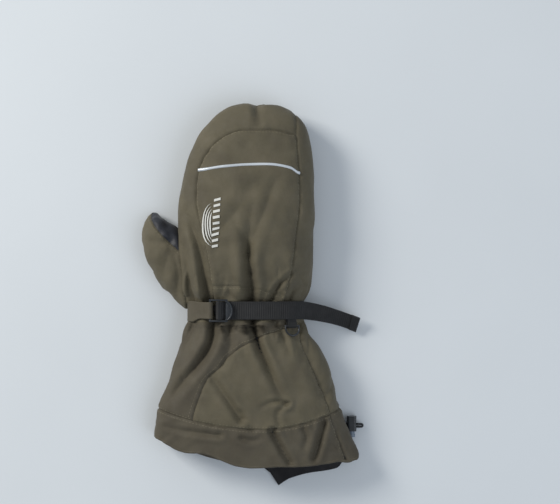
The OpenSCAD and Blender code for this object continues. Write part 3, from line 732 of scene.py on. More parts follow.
@dataclass(frozen=True)
class ShellCut:
    """How the outer cloth is cut and gathered over the form."""

    columns: int = 168
    gather: float = 0.42
    gather_reach: float = 40.0
    slack: float = 1.03
    lengthwise: float = 1.04
    calm: tuple[float, float] = (95.0, 45.0)  # where the slack ends towards the fingers, and its run
    cinch_depth: float = 2.4  # how far the strap draws the cloth in
    cinch_reach: float = 8.5
    seat: tuple[float, float] = (44.5, -19.0)  # where the ring lies
    seat_size: tuple[float, float] = (13.0, 11.0)
    seat_depth: float = 4.2
    notch: tuple[float, float] = (7.0, 196.0)  # where the seam draws the fingertips back
    notch_size: tuple[float, float] = (8.0, 22.0)
    notch_depth: float = 3.0
    creases: tuple[Crease, ...] = (
        Crease(((1, 0), (0, 32), (-3, 58), (-1, 85), (4, 112)), (15.0, 1.5), 5.6),
        Crease(((-42, 4), (-47.5, 31), (-52.6, 65), (-62, 93), (-71, 121)), (12.0, 2.5), 5.0),
        Crease(((-60.5, 4), (-61.5, 16), (-65, 44), (-69, 70)), (11.0, 1.5), 4.0),
        Crease(((20, 4), (27, 22), (46, 40)), (8.5, 1.0), 2.6),
        Crease(((40, 4), (44, 18), (54, 27)), (7.0, 1.0), 2.6),
        Crease(((12, 6), (14, 15), (17, 22)), (4.0, 0.4), 2.4),
        Crease(((4, 134), (-10, 108), (-27, 88)), (1.0, 3.4), 7.0),
        Crease(((26, 134), (16, 106), (6, 80), (0, 60)), (1.0, 4.0), 5.0),
        Crease(((-14, 92), (-2, 66), (2, 40)), (1.0, 4.0), 3.4),
        Crease(((7, 222), (8, 208), (10, 192)), (6.0, 0.4), 4.0),
        Crease(((-37, 0), (-40, -31), (-50, -51), (-67, -72), (-83, -93)), (15.0, 2.0), 4.8),
        Crease(((-57, -4), (-60, -20), (-70, -44)), (5.0, 0.6), 3.4),
        Crease(((0, 0), (8, -33), (17, -55), (28, -79), (36, -94)), (17.0, 1.0), 4.4),
        Crease(((-21, -10), (-20, -34), (-30, -62)), (5.0, 0.6), 3.8),
        Crease(((-39, -70), (-24, -92), (-9, -114)), (2.0, 6.5), 4.0),
        Crease(((12, -102), (20, -97), (30, -95), (40, -97)), (0.6, 4.0), 2.6),
        Crease(((37, -99), (29, -108), (31, -121)), (2.5, 1.5), 2.8),
        Crease(((-8, -106), (0, -118), (4, -126)), (2.0, 2.0), 3.2),
        Crease(((24, -127), (32, -143), (42, -160)), (7.0, 4.5), 3.6),
        Crease(((78, -119), (74, -136), (68, -156)), (7.0, 4.5), 3.6),
        Crease(((-90, -123), (-62, -128), (-32, -131)), (0.8, 4.0), 3.2),
        Crease(((-8, -134), (0, -137), (10, -134)), (3.0, 1.2), 3.0),
        Crease(((56, -124), (60, -133), (57, -144)), (3.5, 1.0), 3.0),
        Crease(((24, -10), (36, -28), (42, -44)), (6.0, 0.8), 3.4),
        Crease(((48, -16), (62, -50), (78, -88)), (3.5, 3.0), 6.0),
    )

    def cloth(self, form: Form) -> Cloth:
        """Cut, gather and settle the whole shell, from the mouth to the fingertips."""
        turn = np.radians(np.linspace(0, 88.5, 58)[1:])
        places = np.concatenate([
            np.linspace(-162, form.knuckle, 100), form.knuckle + (form.length - form.knuckle) * np.sin(turn)
        ])
        sweep = np.linspace(-90, 270, 1441)
        angles = []
        for y in places:
            walk = walked(form.section(y, sweep))
            angles.append(np.interp(np.linspace(0, walk[-1], self.columns + 1)[:-1], walk, sweep))
        angles = np.array(angles)
        points = form.section(places[:, None], angles)
        normals = outward(points)
        near = np.exp(-(((places - 2) / self.gather_reach) ** 2))[:, None]
        turns = np.radians(angles)
        folds = sum(
            size * np.sin(count * turns + phase + 0.5 * np.sin(places[:, None] / 38 + count))
            for count, size, phase in ((9, 1.6, 0.3), (13, 1.3, 1.2), (19, 1.0, 2.1), (27, 0.6, 0.5))
        )
        slack = 1.1 * ripple(points, 46, 11) + 0.5 * ripple(points, 22, 12)
        held = np.clip((np.abs(places) - 7) / 10, 0, 1)[:, None]
        start = points + normals * ((folds * near + slack) * held)[..., None]
        start[..., 2] = np.maximum(start[..., 2], 0.3)
        centre = points.mean(axis=1, keepdims=True)
        calm = 1 - ease((places - self.calm[0]) / self.calm[1])[:, None]
        cut = centre + (points - centre) * (1 + (self.slack - 1) * calm + self.gather * near)[..., None]
        cut[..., 1] += (self.lengthwise - 1) * np.minimum(cut[..., 1], 100)
        pins = np.where(np.abs(places) < 8, 1.0, np.where((places < -150) | (places > 216), 0.5, 0.05))
        pins = np.where((places > 120) & (places <= 216), 0.3, pins)
        settled = Drape().settle(points, start, cut, pins)
        z = settled[..., 2]
        settled[..., 2] = np.where(z < 3, 0.5 + 2.5 * np.exp((z - 3) / 2.5), z)
        fine = Cloth(places, angles, settled).finer()
        places, angles, settled = fine.places, fine.angles, fine.points
        points = form.section(places[:, None], angles)
        facing = np.clip((outward(settled)[..., 2] - 0.05) / 0.4, 0, 1)
        for crease in self.creases:
            settled = crease.press(settled, facing)
        cinch = np.exp(-((places / self.cinch_reach) ** 6))[:, None, None]
        settled = settled - outward(points) * cinch * self.cinch_depth
        seat = (settled[..., :2] - self.seat) / self.seat_size
        settled[..., 2] -= self.seat_depth * np.exp(-(np.hypot(seat[..., 0], seat[..., 1]) ** 4)) * facing
        tip = (settled[..., :2] - self.notch) / self.notch_size
        settled[..., 1] -= self.notch_depth * np.exp(-(tip[..., 0] ** 2)) * np.clip(tip[..., 1], 0, 1)
        return Cloth(places, angles, settled)


Bound = Callable[[Grid], Grid]


@dataclass
class Panel:
    """A panel cut from the shell between four seams, with rolled edges, puckers and topstitching."""

    name: str
    cloth: Cloth
    start: Bound
    end: Bound
    first: Bound
    last: Bound
    finish: Finish
    map: SeamMap
    seams: tuple[Edge, ...] = (Edge.FIRST, Edge.LAST, Edge.START, Edge.END)
    strength: float = 1.0
    puff: float = 0.5
    roll: float = 1.5
    roll_width: float = 3.2
    pucker: float = 0.55
    step: float = 1.5
    piece: bpy.types.Object | None = None

    def __post_init__(self) -> None:
        """Note the panel's seams."""
        for edge in self.seams:
            self.map.add(self.cloth.at(*self.line(edge))[0], self.strength)

    def place(self, t: Grid, a: Grid) -> tuple[Grid, Grid]:
        """Places and angles of panel coordinates t, along, and a, across."""
        t, a = np.broadcast_arrays(np.asarray(t, float), np.asarray(a, float))
        y, u = np.zeros(t.shape), np.full(t.shape, 90.0)
        for _ in range(6):
            y = (1 - t) * self.start(u) + t * self.end(u)
            u = (1 - a) * self.first(y) + a * self.last(y)
        return y, u

    def line(self, edge: Edge) -> tuple[Grid, Grid]:
        """Places and angles along an edge."""
        run = np.linspace(0, 1, 240)
        at = 0.0 if edge in (Edge.FIRST, Edge.START) else 1.0
        return self.place(at, run) if edge in (Edge.START, Edge.END) else self.place(run, at)

    def build(self) -> bpy.types.Object:
        """Make the panel's mesh."""
        probe, _ = self.cloth.at(*self.place(np.linspace(0, 1, 30)[:, None], np.linspace(0, 1, 30)[None]))
        long_ = np.linalg.norm(np.diff(probe, axis=0), axis=-1).sum(axis=0).max()
        wide = np.linalg.norm(np.diff(probe, axis=1), axis=-1).sum(axis=1).max()
        rows, columns = max(6, int(long_ / self.step)), max(6, int(wide / self.step))
        t, a = np.linspace(0, 1, rows), np.linspace(0, 1, columns)
        points, normals = self.cloth.at(*self.place(t[:, None], a[None]))
        lay = arc_lay(points)
        away, strength = self.map.near(points)
        rise = self.puff * (1 - np.exp(-away / 8))
        rise -= strength * self.roll * (1 - np.clip(away / self.roll_width, 0, 1)) ** 2
        rise += strength * self.pucker * np.exp(-away / 6) * ripple(points, 8, 21)
        rise += 0.32 * ripple(points, 17, 22) * np.clip(away / 4, 0, 1)
        points = points + normals * rise[..., None]
        self.piece = make_mesh(self.name, points, grid_faces(rows, columns), self.finish, lay)
        self.flat, self.area = cut_size(points)
        return self.piece

    def stitches(self, edge: Edge, away: float = 2.4, pitch: float = 3.6) -> list[Row]:
        """The topstitches along an edge.

        Args:
            edge: which edge.
            away: distance of the stitches from the edge.
            pitch: length of a stitch and its gap.

        Returns:
            One row of middles, directions and normals, or none if the edge is too short.
        """
        surface = BVHTree.FromObject(self.piece, bpy.context.evaluated_depsgraph_get())
        line = np.linspace(0.004, 0.996, 500)
        across = edge in (Edge.START, Edge.END)

        def read(share: Grid | float) -> Grid:
            """Points of the line that runs beside the edge at a share of the panel."""
            return self.cloth.at(*(self.place(share, line) if across else self.place(line, share)))[0]

        span = np.maximum(np.linalg.norm(read(1.0) - read(0.0), axis=1), 6)
        share = np.clip(away / span, 0, 0.4)
        path = read(1 - share if edge in (Edge.END, Edge.LAST) else share)
        walk = walked(path)
        if walk[-1] < 3 * pitch:
            return []
        marks = np.arange(pitch, walk[-1] - pitch / 2, pitch)
        found = [surface.find_nearest(Vector(spot)) for spot in row_frame(resample(path, walk, marks))]
        middles = np.array([np.array(spot) / MM - SHIFT for spot, _, _, _ in found])
        return [(middles, np.gradient(middles, axis=0), np.array([np.array(n) for _, n, _, _ in found]))]


def stitch_rows(panels: dict[str, Panel], edges: dict[str, Sequence[Edge]]) -> list[Row]:
    """The topstitches along the named edges of some panels, in that order."""
    return [row for key, along in edges.items() for edge in along for row in panels[key].stitches(edge)]


def sew(name: str, rows: list[Row], finish: Finish, length: float = 2.5,
        thick: float = 0.55) -> bpy.types.Object:
    """Make one piece of many stitches.

    Args:
        name: the piece's name.
        rows: middles, directions and normals of each row.
        finish: the thread.
        length: a stitch's length in millimetres.
        thick: the thread's thickness.

    Returns:
        The object.
    """
    points, faces = [], []
    for middles, ways, normals in rows:
        for p, d, n in zip(middles, ways, normals):
            d = d - n * (d @ n)
            d = d / (np.linalg.norm(d) + 1e-9)
            side = np.cross(n, d)
            first = len(points)
            for s, w, h in ((-0.5, 0.3, -0.35), (-0.28, 1.0, 0.5), (0.28, 1.0, 0.5), (0.5, 0.3, -0.35)):
                base = p + d * s * length
                points += [
                    base + side * w * thick / 2 - n * thick * 0.3,
                    base + n * thick * h,
                    base - side * w * thick / 2 - n * thick * 0.3,
                ]
            for k in range(3):
                at = first + 3 * k
                faces += [(at, at + 1, at + 4, at + 3), (at + 1, at + 2, at + 5, at + 4)]
    return make_mesh(name, np.array(points), faces, finish)


def dress(piece: bpy.types.Object, body: str, nodes: Sequence[str] = ()) -> bpy.types.Object:
    """Make a piece ride on a body, or bake it in place where it crosses a joint, and hide the CAD nodes it
    stands for.

    Args:
        piece: the piece.
        body: a CAD body, or cuff for cloth across the wrist, or root for cloth across the thumb's root.
        nodes: the CAD nodes it stands for.

    Returns:
        The piece.
    """
    if nodes:
        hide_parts(*nodes)
    if body == "cuff":
        tuple(row_frame([0, -13, 22]))
        tuple(row_frame([0, -43, 22]))
        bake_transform(piece)
    elif body == "root":
        tuple(row_frame([-73.9, 46.6, 20]))
        tuple(row_frame([-91.7, 43.8, 20]))
        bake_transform(piece)
    else:
        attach(piece, body)
    LOG.info("%s on %s", piece.name, body)
    return piece


# ---------------------------------------------------------------- hand and gauntlet


def cap(name: str, cloth: Cloth, place: float, rise: float, finish: Finish) -> bpy.types.Object:
    """Close the small ring of cloth at a tip with a low dome.

    Args:
        name: the piece's name.
        cloth: the cloth whose tip it closes.
        place: where the ring is.
        rise: how far the dome stands past the ring.
        finish: its finish.

    Returns:
        The object.
    """
    turns = np.linspace(-90, 270, 49)[:-1]
    ring = cloth.at(np.full(48, place), turns)[0]
    middle = ring.mean(axis=0)
    ahead = middle - cloth.at(np.full(48, place - 3), turns)[0].mean(axis=0)
    ahead /= np.linalg.norm(ahead)
    quarter = np.linspace(0, math.pi / 2 - 0.02, 7)[:, None, None]
    points = middle + (ring - middle) * 1.1 * np.cos(quarter) + ahead * (rise * np.sin(quarter) - 0.4)
    return make_mesh(name, points, grid_faces(7, 48, ring=True), finish, arc_lay(points))


def level(value: float) -> Bound:
    """A bound that is the same everywhere."""
    return lambda v: np.full(np.shape(v), float(value))


@dataclass
class HandShell:
    """The padded hand: an oval on the back, walls round it, a yoke at the fingertips, and grip patches."""

    form: Form
    cloth: Cloth
    map: SeamMap = field(default_factory=SeamMap)
    strap_line: float = -13.0
    oval_top: float = 189.7
    palm_top: float = 197.0
    grip_seam: float = 79.5
    # seams as offsets from the pattern's centre line: thumb side and little finger side of the oval
    oval_thumb: Keys = (
        (-13, -36.5), (11, -37.8), (37, -41.7), (65, -46.3), (93, -52.6), (117, -56.4), (132, -56.4),
        (149, -52.6), (168, -43.2), (182, -27.7), (188, -15), (190, -9),
    )
    oval_pinky: Keys = (
        (-13, 35), (15.5, 37.7), (39, 43.1), (62, 47), (85, 50.1), (124, 53.2), (143, 52.5), (170, 50.2),
        (185, 48.8), (212, 48.2),
    )
    grip_share: Keys = ((-12, 0.56), (20, 0.62), (60, 0.7), (120, 0.7), (160, 0.66), (185, 0.52),
                        (194, 0.36), (197, 0.22))

    def thumb_seam(self, y: Grid) -> Grid:
        """The oval's seam on the thumb side."""
        return self.form.angle_at(y, smooth_keys(self.oval_thumb, y))

    def pinky_seam(self, y: Grid) -> Grid:
        """The oval's seam on the little finger side."""
        return self.form.angle_at(y, smooth_keys(self.oval_pinky, y))

    def grip_angle(self, y: Grid) -> Grid:
        """Angle of the grip patch's edge below the side."""
        return np.degrees(np.arccos(smooth_keys(self.grip_share, y) ** (self.form.low_power / 2)))

    def yoke_edge(self, u: Grid) -> Grid:
        """Where the yoke starts: at the oval's top on the back, and past the grip patch under the palm."""
        under = ease((np.mod(u, 360) - 180) / 14) * ease((360 - np.mod(u, 360)) / 14)
        right = ease((np.cos(np.radians(u)) - 0.25) / 0.5)
        return self.oval_top + (self.palm_top - self.oval_top) * under - 4.7 * right * (1 - under)

    def wrist_seam(self, u: Grid) -> Grid:
        """The cross seam on the back above the strap, lower towards the little finger."""
        return 26.0 - 9.0 * ease(np.cos(np.radians(u)) / 0.5)

    def build(self) -> None:
        """Make the hand's panels, stitches, tape and print."""
        strap, yoke = level(self.strap_line), self.yoke_edge
        grip_low = lambda y: 180 + self.grip_angle(y)
        grip_high = lambda y: 360 - self.grip_angle(y)
        heel, grip = level(20.0), level(self.grip_seam)
        sides = (Edge.FIRST, Edge.LAST)

        def cut(name: str, start: Bound, end: Bound, first: Bound, last: Bound, finish: Finish = SHELL,
                **more: object) -> Panel:
            """A panel of the hand."""
            return Panel(name, self.cloth, start, end, first, last, finish, self.map, **more)

        panels = {
            "back_panel": cut("padded_back_oval", self.wrist_seam, yoke, self.pinky_seam, self.thumb_seam,
                              seams=(*sides, Edge.END), puff=1.4),
            "wrist_back_panel": cut("wrist_back_cloth", strap, self.wrist_seam, self.pinky_seam,
                                    self.thumb_seam, seams=sides),
            "thumb_side_wall": cut("thumb_side_wall_cloth", strap, yoke, self.thumb_seam, grip_low,
                                   seams=(), puff=0.7),
            "pinky_side_wall": cut("pinky_side_wall_cloth", strap, yoke, lambda y: grip_high(y) - 360,
                                   self.pinky_seam, seams=(), puff=0.7),
            "palm_patch_upper": cut("grip_patch_fingers", grip, yoke, grip_low, grip_high, PALM),
            "palm_patch_lower": cut("grip_patch_heel", heel, grip, grip_low, grip_high, PALM),
            "fingertip_yoke": cut("fingertip_yoke_cloth", yoke, level(self.form.length - 0.05), level(-90),
                                  level(270), seams=(), puff=0.7),
            "wrist_palm_panel": cut("wrist_palm_cloth", strap, heel, grip_low, grip_high, seams=()),
        }
        self.seam_line(((17, 37), (21.5, 10), (26, -10), (26, -39)), 0.45)
        self.seam_line(((185, 48.8), (200, 48.6), (211, 48)), 0.9)
        self.seam_line(((48, 44.5), (36, 53), (24, 60)), 0.7)
        for node, panel in panels.items():
            panel.build()
            nodes = (node, "thumb_side_wall_lower") if node == "thumb_side_wall" else (node,)
            dress(panel.piece, "hand", nodes)
        dress(cap("fingertip_yoke_cap", self.cloth, self.form.length - 0.05, 2.6, SHELL), "hand")
        rows = stitch_rows(panels, {
            "back_panel": (Edge.FIRST, Edge.LAST, Edge.END), "wrist_back_panel": (Edge.END,),
            "thumb_side_wall": (Edge.LAST,), "pinky_side_wall": (Edge.FIRST,),
        })
        dress(sew("hand_topstitching", rows, THREAD), "hand")
        rows = stitch_rows(panels, {
            "palm_patch_upper": (Edge.FIRST, Edge.LAST, Edge.START), "palm_patch_lower": (Edge.END,),
        })
        dress(sew("grip_topstitching", rows, THREAD_DARK), "hand")
        self.piping()
        self.emblem()

    def seam_line(self, line: Sequence[tuple[float, float]], strength: float) -> None:
        """Note a seam that runs inside a panel, given by places along and offsets across."""
        y, x = (np.interp(np.linspace(0, 1, 60), np.linspace(0, 1, len(line)), v) for v in zip(*line))
        self.map.add(self.cloth.at(y, self.form.angle_at(y, x))[0], strength)

    def ribbon(self, name: str, path: Grid, width: float, rise: float, finish: Finish) -> bpy.types.Object:
        """A flat strip that lies on the shell along a line.

        Args:
            name: the piece's name.
            path: places and angles along the line.
            width: the strip's width.
            rise: how far it stands up.
            finish: its finish.

        Returns:
            The object.
        """
        points = []
        for share, lift in ((-0.5, 0.1), (-0.36, 0.85), (-0.12, 1.0), (0.12, 1.0), (0.36, 0.85),
                            (0.5, 0.1)):
            on, normal = self.cloth.at(path[:, 0] + share * width, path[:, 1])
            points.append(on + normal * (0.6 + rise * lift))
        grid = np.array(points)
        return make_mesh(name, grid, grid_faces(*grid.shape[:2]), finish, arc_lay(grid))

    def piping(self) -> None:
        """The reflective tape across the back."""
        share = np.linspace(0, 1, 90)
        y = smooth_keys(((0, 147.5), (0.3, 151), (0.62, 153.4), (0.86, 150), (1, 144.5)), 1 - share)
        u = self.pinky_seam(y) * (1 - share) + self.thumb_seam(y) * share
        piece = self.ribbon("reflective_tape_line", np.stack([y, u], -1), 3.2, 1.3, TAPE)
        dress(piece, "hand", ("reflective_piping",))

    def emblem(self) -> None:
        """A generic print: a short column of lozenges over a fan of bars."""
        points, faces = [], []

        def shape(outline: list[tuple[float, float]]) -> None:
            """Lay a small outline on the back, about its middle."""
            first = len(points)
            middle = tuple(sum(p[k] for p in outline) / len(outline) for k in (0, 1))
            x, y = np.array([middle, *outline]).T
            on, normal = self.cloth.at(y, self.form.angle_at(y, x))
            points.extend(on + normal * 2.05)
            count = len(outline)
            faces.extend((first, first + 1 + k, first + 1 + (k + 1) % count) for k in range(count))

        for k in range(9):
            x, y = -33.2 - 0.36 * k, 116.0 - 6.0 * k
            shape([(x - 3.4, y - 2.0), (x + 3.4, y - 0.4), (x + 3.4, y + 2.2), (x - 3.4, y + 0.6)])
        for k in range(4):
            inner, outer = 2.0 + 2.6 * k, 3.4 + 2.6 * k
            for turn in range(10):
                a, b = (math.radians(100 + 16.2 * (turn + f)) for f in (0, 1))
                reach = 22.5 - 3.2 * (3 - k)
                rim = ((inner, a), (outer, a), (outer, b), (inner, b))
                shape([(-38.0 + r * math.cos(v), 90 + reach * math.sin(v)) for r, v in rim])
        dress(make_mesh("back_print", np.array(points), faces, INK, np.array(points)[:, :2]), "hand",
              ("back_emblem",))


@dataclass
class Gauntlet:
    """The gauntlet: a diagonal seam over the back, a side strip, hem bands and a bound mouth."""

    form: Form
    cloth: Cloth
    map: SeamMap = field(default_factory=SeamMap)
    strap_line: float = -8.0
    mouth: float = -141.5
    strip_keys: Keys = (
        (-142, 0.9), (-106, 0.875), (-87, 0.85), (-67, 0.8), (-48, 0.78), (-36, 0.81), (-26, 0.88),
        (-9, 0.93)
    )
    diagonal_keys: Keys = (
        (-110, -60), (-82, -51.5), (-68, -43.5), (-57.5, -30), (-47, -21), (-38, -8), (-31, 6), (-25, 18),
        (-18.6, 39), (-15, 50),
    )

    def strip_seam(self, y: Grid) -> Grid:
        """The side strip's seam on the back."""
        q = smooth_keys(self.strip_keys, y)
        x = smooth_keys(self.form.centres, y) + q * smooth_keys(self.form.half_widths, y)
        return self.form.angle_at(y, x)

    def diagonal_seam(self, y: Grid) -> Grid:
        """The seam that runs from the little finger edge across the back."""
        return np.maximum(self.form.angle_at(y, smooth_keys(self.diagonal_keys, y)), self.strip_seam(y))

    def hem_line(self, u: Grid) -> Grid:
        """The hem band's seam: higher towards the little finger."""
        return -108.5 + 10.8 * np.maximum(np.cos(np.radians(u)), 0) ** 1.7

    def mouth_line(self, u: Grid) -> Grid:
        """The mouth's edge, uneven as worn cloth is."""
        c, s = np.cos(np.radians(u)), np.sin(np.radians(u))
        x = 107 * np.sign(c) * np.abs(c) ** 0.8
        back = ease((s + 0.1) / 0.4)
        waves = 1.2 * np.sin(x / 9 + 1) * np.exp(-(((x + 70) / 30) ** 2))
        dent = 6 * np.exp(-(((x + 48) / 26) ** 2)) - 3.5 * ease((x - 55) / 40) + waves
        sag = 3.5 * np.exp(-(((x - 22) / 30) ** 2)) - 5.5 * ease((x - 84) / 14)
        return self.mouth + (dent + sag) * back

    def lining_edge(self, u: Grid) -> Grid:
        """The lining's edge: it hangs out a little on the palm side."""
        c, s = np.cos(np.radians(u)), np.sin(np.radians(u))
        x = 107 * np.sign(c) * np.abs(c) ** (2 / 3.2)
        out = ease((x - 10) / 7) * ease((104 - x) / 22) * ease((-s - 0.1) / 0.3)
        hang = 14.0 + 1.6 * np.sin(x / 11) + 4 * np.exp(-(((x - 22) / 5) ** 2))
        return self.mouth_line(u) + 1.5 - out * hang

    def build(self) -> None:
        """Make the gauntlet's panels, stitches, binding and lining."""
        top, hem = level(self.strap_line), self.hem_line
        under, side = level(198.0), -16.0
        strip = self.strip_seam

        def cut(name: str, start: Bound, end: Bound, first: Bound, last: Bound, seams: tuple[Edge, ...],
                finish: Finish = SHELL, **more: object) -> Panel:
            """A panel of the gauntlet."""
            return Panel(name, self.cloth, start, end, first, last, finish, self.map, seams, **more)

        panels = {
            # The thumb side takes the darker cloth: painted shade for its folds
            "thumb": cut("gauntlet_back_thumb_side_cloth", hem, top, self.diagonal_seam, under,
                         (Edge.FIRST, Edge.START), SHADED_CLOTH),
            "pinky": cut("gauntlet_back_pinky_side_cloth", hem, level(-14.5), strip, self.diagonal_seam,
                         (Edge.FIRST, Edge.START)),
            "strip": cut("gauntlet_side_strip_cloth", hem, top, level(side), strip,
                         (Edge.FIRST, Edge.START)),
            "palm": cut("gauntlet_palm_cloth", hem, top, under, level(360 + side),
                        (Edge.FIRST, Edge.START)),
            "hem_back": cut("hem_band_back_cloth", self.mouth_line, hem, level(33), level(184),
                            (Edge.FIRST, Edge.LAST), SHADED_CLOTH, pucker=0.9),
            "hem_palm": cut("hem_band_palm_cloth", self.mouth_line, hem, level(184), level(393), (), SHADED_CLOTH,
                            pucker=0.9),
        }
        nodes = {
            "thumb": ("gauntlet_back_thumb_side", "throat_back_panel"),
            "pinky": ("gauntlet_back_pinky_side",),
            "strip": ("gauntlet_side_strip",), "palm": ("gauntlet_palm_panel", "throat_palm_panel"),
            "hem_back": ("hem_band_back",), "hem_palm": ("hem_band_palm",),
        }
        for key, panel in panels.items():
            piece = dress(panel.build(), "cuff", nodes[key])
            LOG.info("%s cut from %.3f by %.3f m", panel.name, *panel.flat)
        rows = stitch_rows(panels, {
            "thumb": (Edge.FIRST, Edge.START), "pinky": (Edge.START, Edge.FIRST), "strip": (Edge.FIRST,),
            "palm": (Edge.START,), "hem_back": (Edge.END, Edge.FIRST), "hem_palm": (Edge.END,),
        })
        dress(sew("gauntlet_topstitching", rows, THREAD), "cuff")
        self.binding()
        self.lining()

    def binding(self) -> None:
        """The rolled binding round the mouth."""
        u = np.linspace(-90, 270, 420)[:-1]
        middle, normal = self.cloth.at(self.mouth_line(u), u)
        ahead = np.roll(middle, -1, 0) - np.roll(middle, 1, 0)
        ahead /= np.linalg.norm(ahead, axis=1, keepdims=True)
        side = np.cross(ahead, normal)
        a = np.linspace(0, 2 * math.pi, 13)[:-1]
        points = middle[:, None] - normal[:, None] * 0.5 + 1.35 * (
            np.cos(a)[None, :, None] * normal[:, None] + 1.25 * np.sin(a)[None, :, None] * side[:, None]
        )
        points += 0.25 * ripple(middle, 6, 31)[:, None, None] * normal[:, None]
        points[..., 2] = np.maximum(points[..., 2], 0.2)
        grid = np.concatenate([points, points[:1]])
        faces = flipped(grid_faces(*grid.shape[:2], ring=True))
        dress(make_mesh("hem_binding_roll", grid, faces, SHADED_CLOTH, None), "cuff", ("hem_binding",))

    def lining(self) -> None:
        """The black lining inside the gauntlet and the throat."""
        u = np.linspace(-90, 270, 170)
        t = np.linspace(0, 1, 70)[:, None]
        edge = self.lining_edge(u)[None]
        y = edge * (1 - t) + t * -6
        points, normals = self.cloth.at(y, u[None])
        depth = 1.5 + 1.6 * ease((y - edge) / 14)
        points = points - normals * (depth + 0.35 * ripple(points, 14, 32))[..., None]
        faces = flipped(grid_faces(*points.shape[:2]))
        piece = make_mesh("gauntlet_lining_cloth", points, faces, LINING, arc_lay(points))
        dress(piece, "cuff", ("gauntlet_lining", "throat_lining"))


# ---------------------------------------------------------------- thumb


@dataclass(frozen=True)
class ThumbForm:
    """The thumb's form: sections between its outer and inner outline, from inside the hand to the tip."""

    outer: tuple[Keys, Keys] = (
        ((0, -52), (10, -60), (20, -67), (32, -79), (44, -91), (56, -101), (68, -108.5), (80, -113.3),
         (90, -114.4), (96, -112.3), (100, -107)),
        ((0, -2), (10, 0), (20, 0.5), (32, 9), (44, 21.5), (56, 35), (68, 50), (80, 67), (90, 83), (96, 94),
         (100, 101.3)),
    )
    inner: tuple[Keys, Keys] = (
        ((0, -60), (10, -68), (20, -76), (32, -80.5), (44, -84.5), (56, -88.5), (68, -92.5), (80, -96.5),
         (90, -100), (96, -102), (100, -104.5)),
        ((0, 84), (10, 86), (20, 87), (32, 89.7), (44, 92), (56, 94.4), (68, 96.8), (80, 99), (90, 101.3),
         (96, 102.5), (100, 103.6)),
    )
    heights: Keys = ((0, 34), (20, 35), (44, 36), (68, 34), (80, 30), (90, 22), (96, 13), (100, 4))
    power: float = 2.3

    def section(self, k: Grid, u: Grid, inset: float = 0.0) -> Grid:
        """Points of the thumb.

        Args:
            k: place along it, 0 inside the hand to 100 at the tip.
            u: angle round it in degrees, from the inner edge over the back.
            inset: depth under the surface.

        Returns:
            Points in millimetres.
        """
        k, u = np.broadcast_arrays(np.asarray(k, float), np.radians(u))
        o = np.stack([smooth_keys(self.outer[0], k), smooth_keys(self.outer[1], k)], -1)
        n = np.stack([smooth_keys(self.inner[0], k), smooth_keys(self.inner[1], k)], -1)
        half = np.linalg.norm(n - o, axis=-1, keepdims=True) / 2
        way = (n - o) / (2 * half + 1e-9)
        tall = np.maximum(smooth_keys(self.heights, k) / 2 - inset, 0.4)
        c, s = np.cos(u), np.sin(u)
        side = np.sign(c) * np.abs(c) ** (2 / self.power)
        flat = (o + n) / 2 + way * np.maximum(half - inset, 0.4) * side[..., None]
        low = np.where(s < 0, 0.92, 1.0)
        rise = np.sign(s) * np.abs(s) ** (2 / self.power) * tall * low
        z = smooth_keys(self.heights, k) / 2 * 0.96 + 1 + rise
        return np.concatenate([flat, z[..., None]], -1)


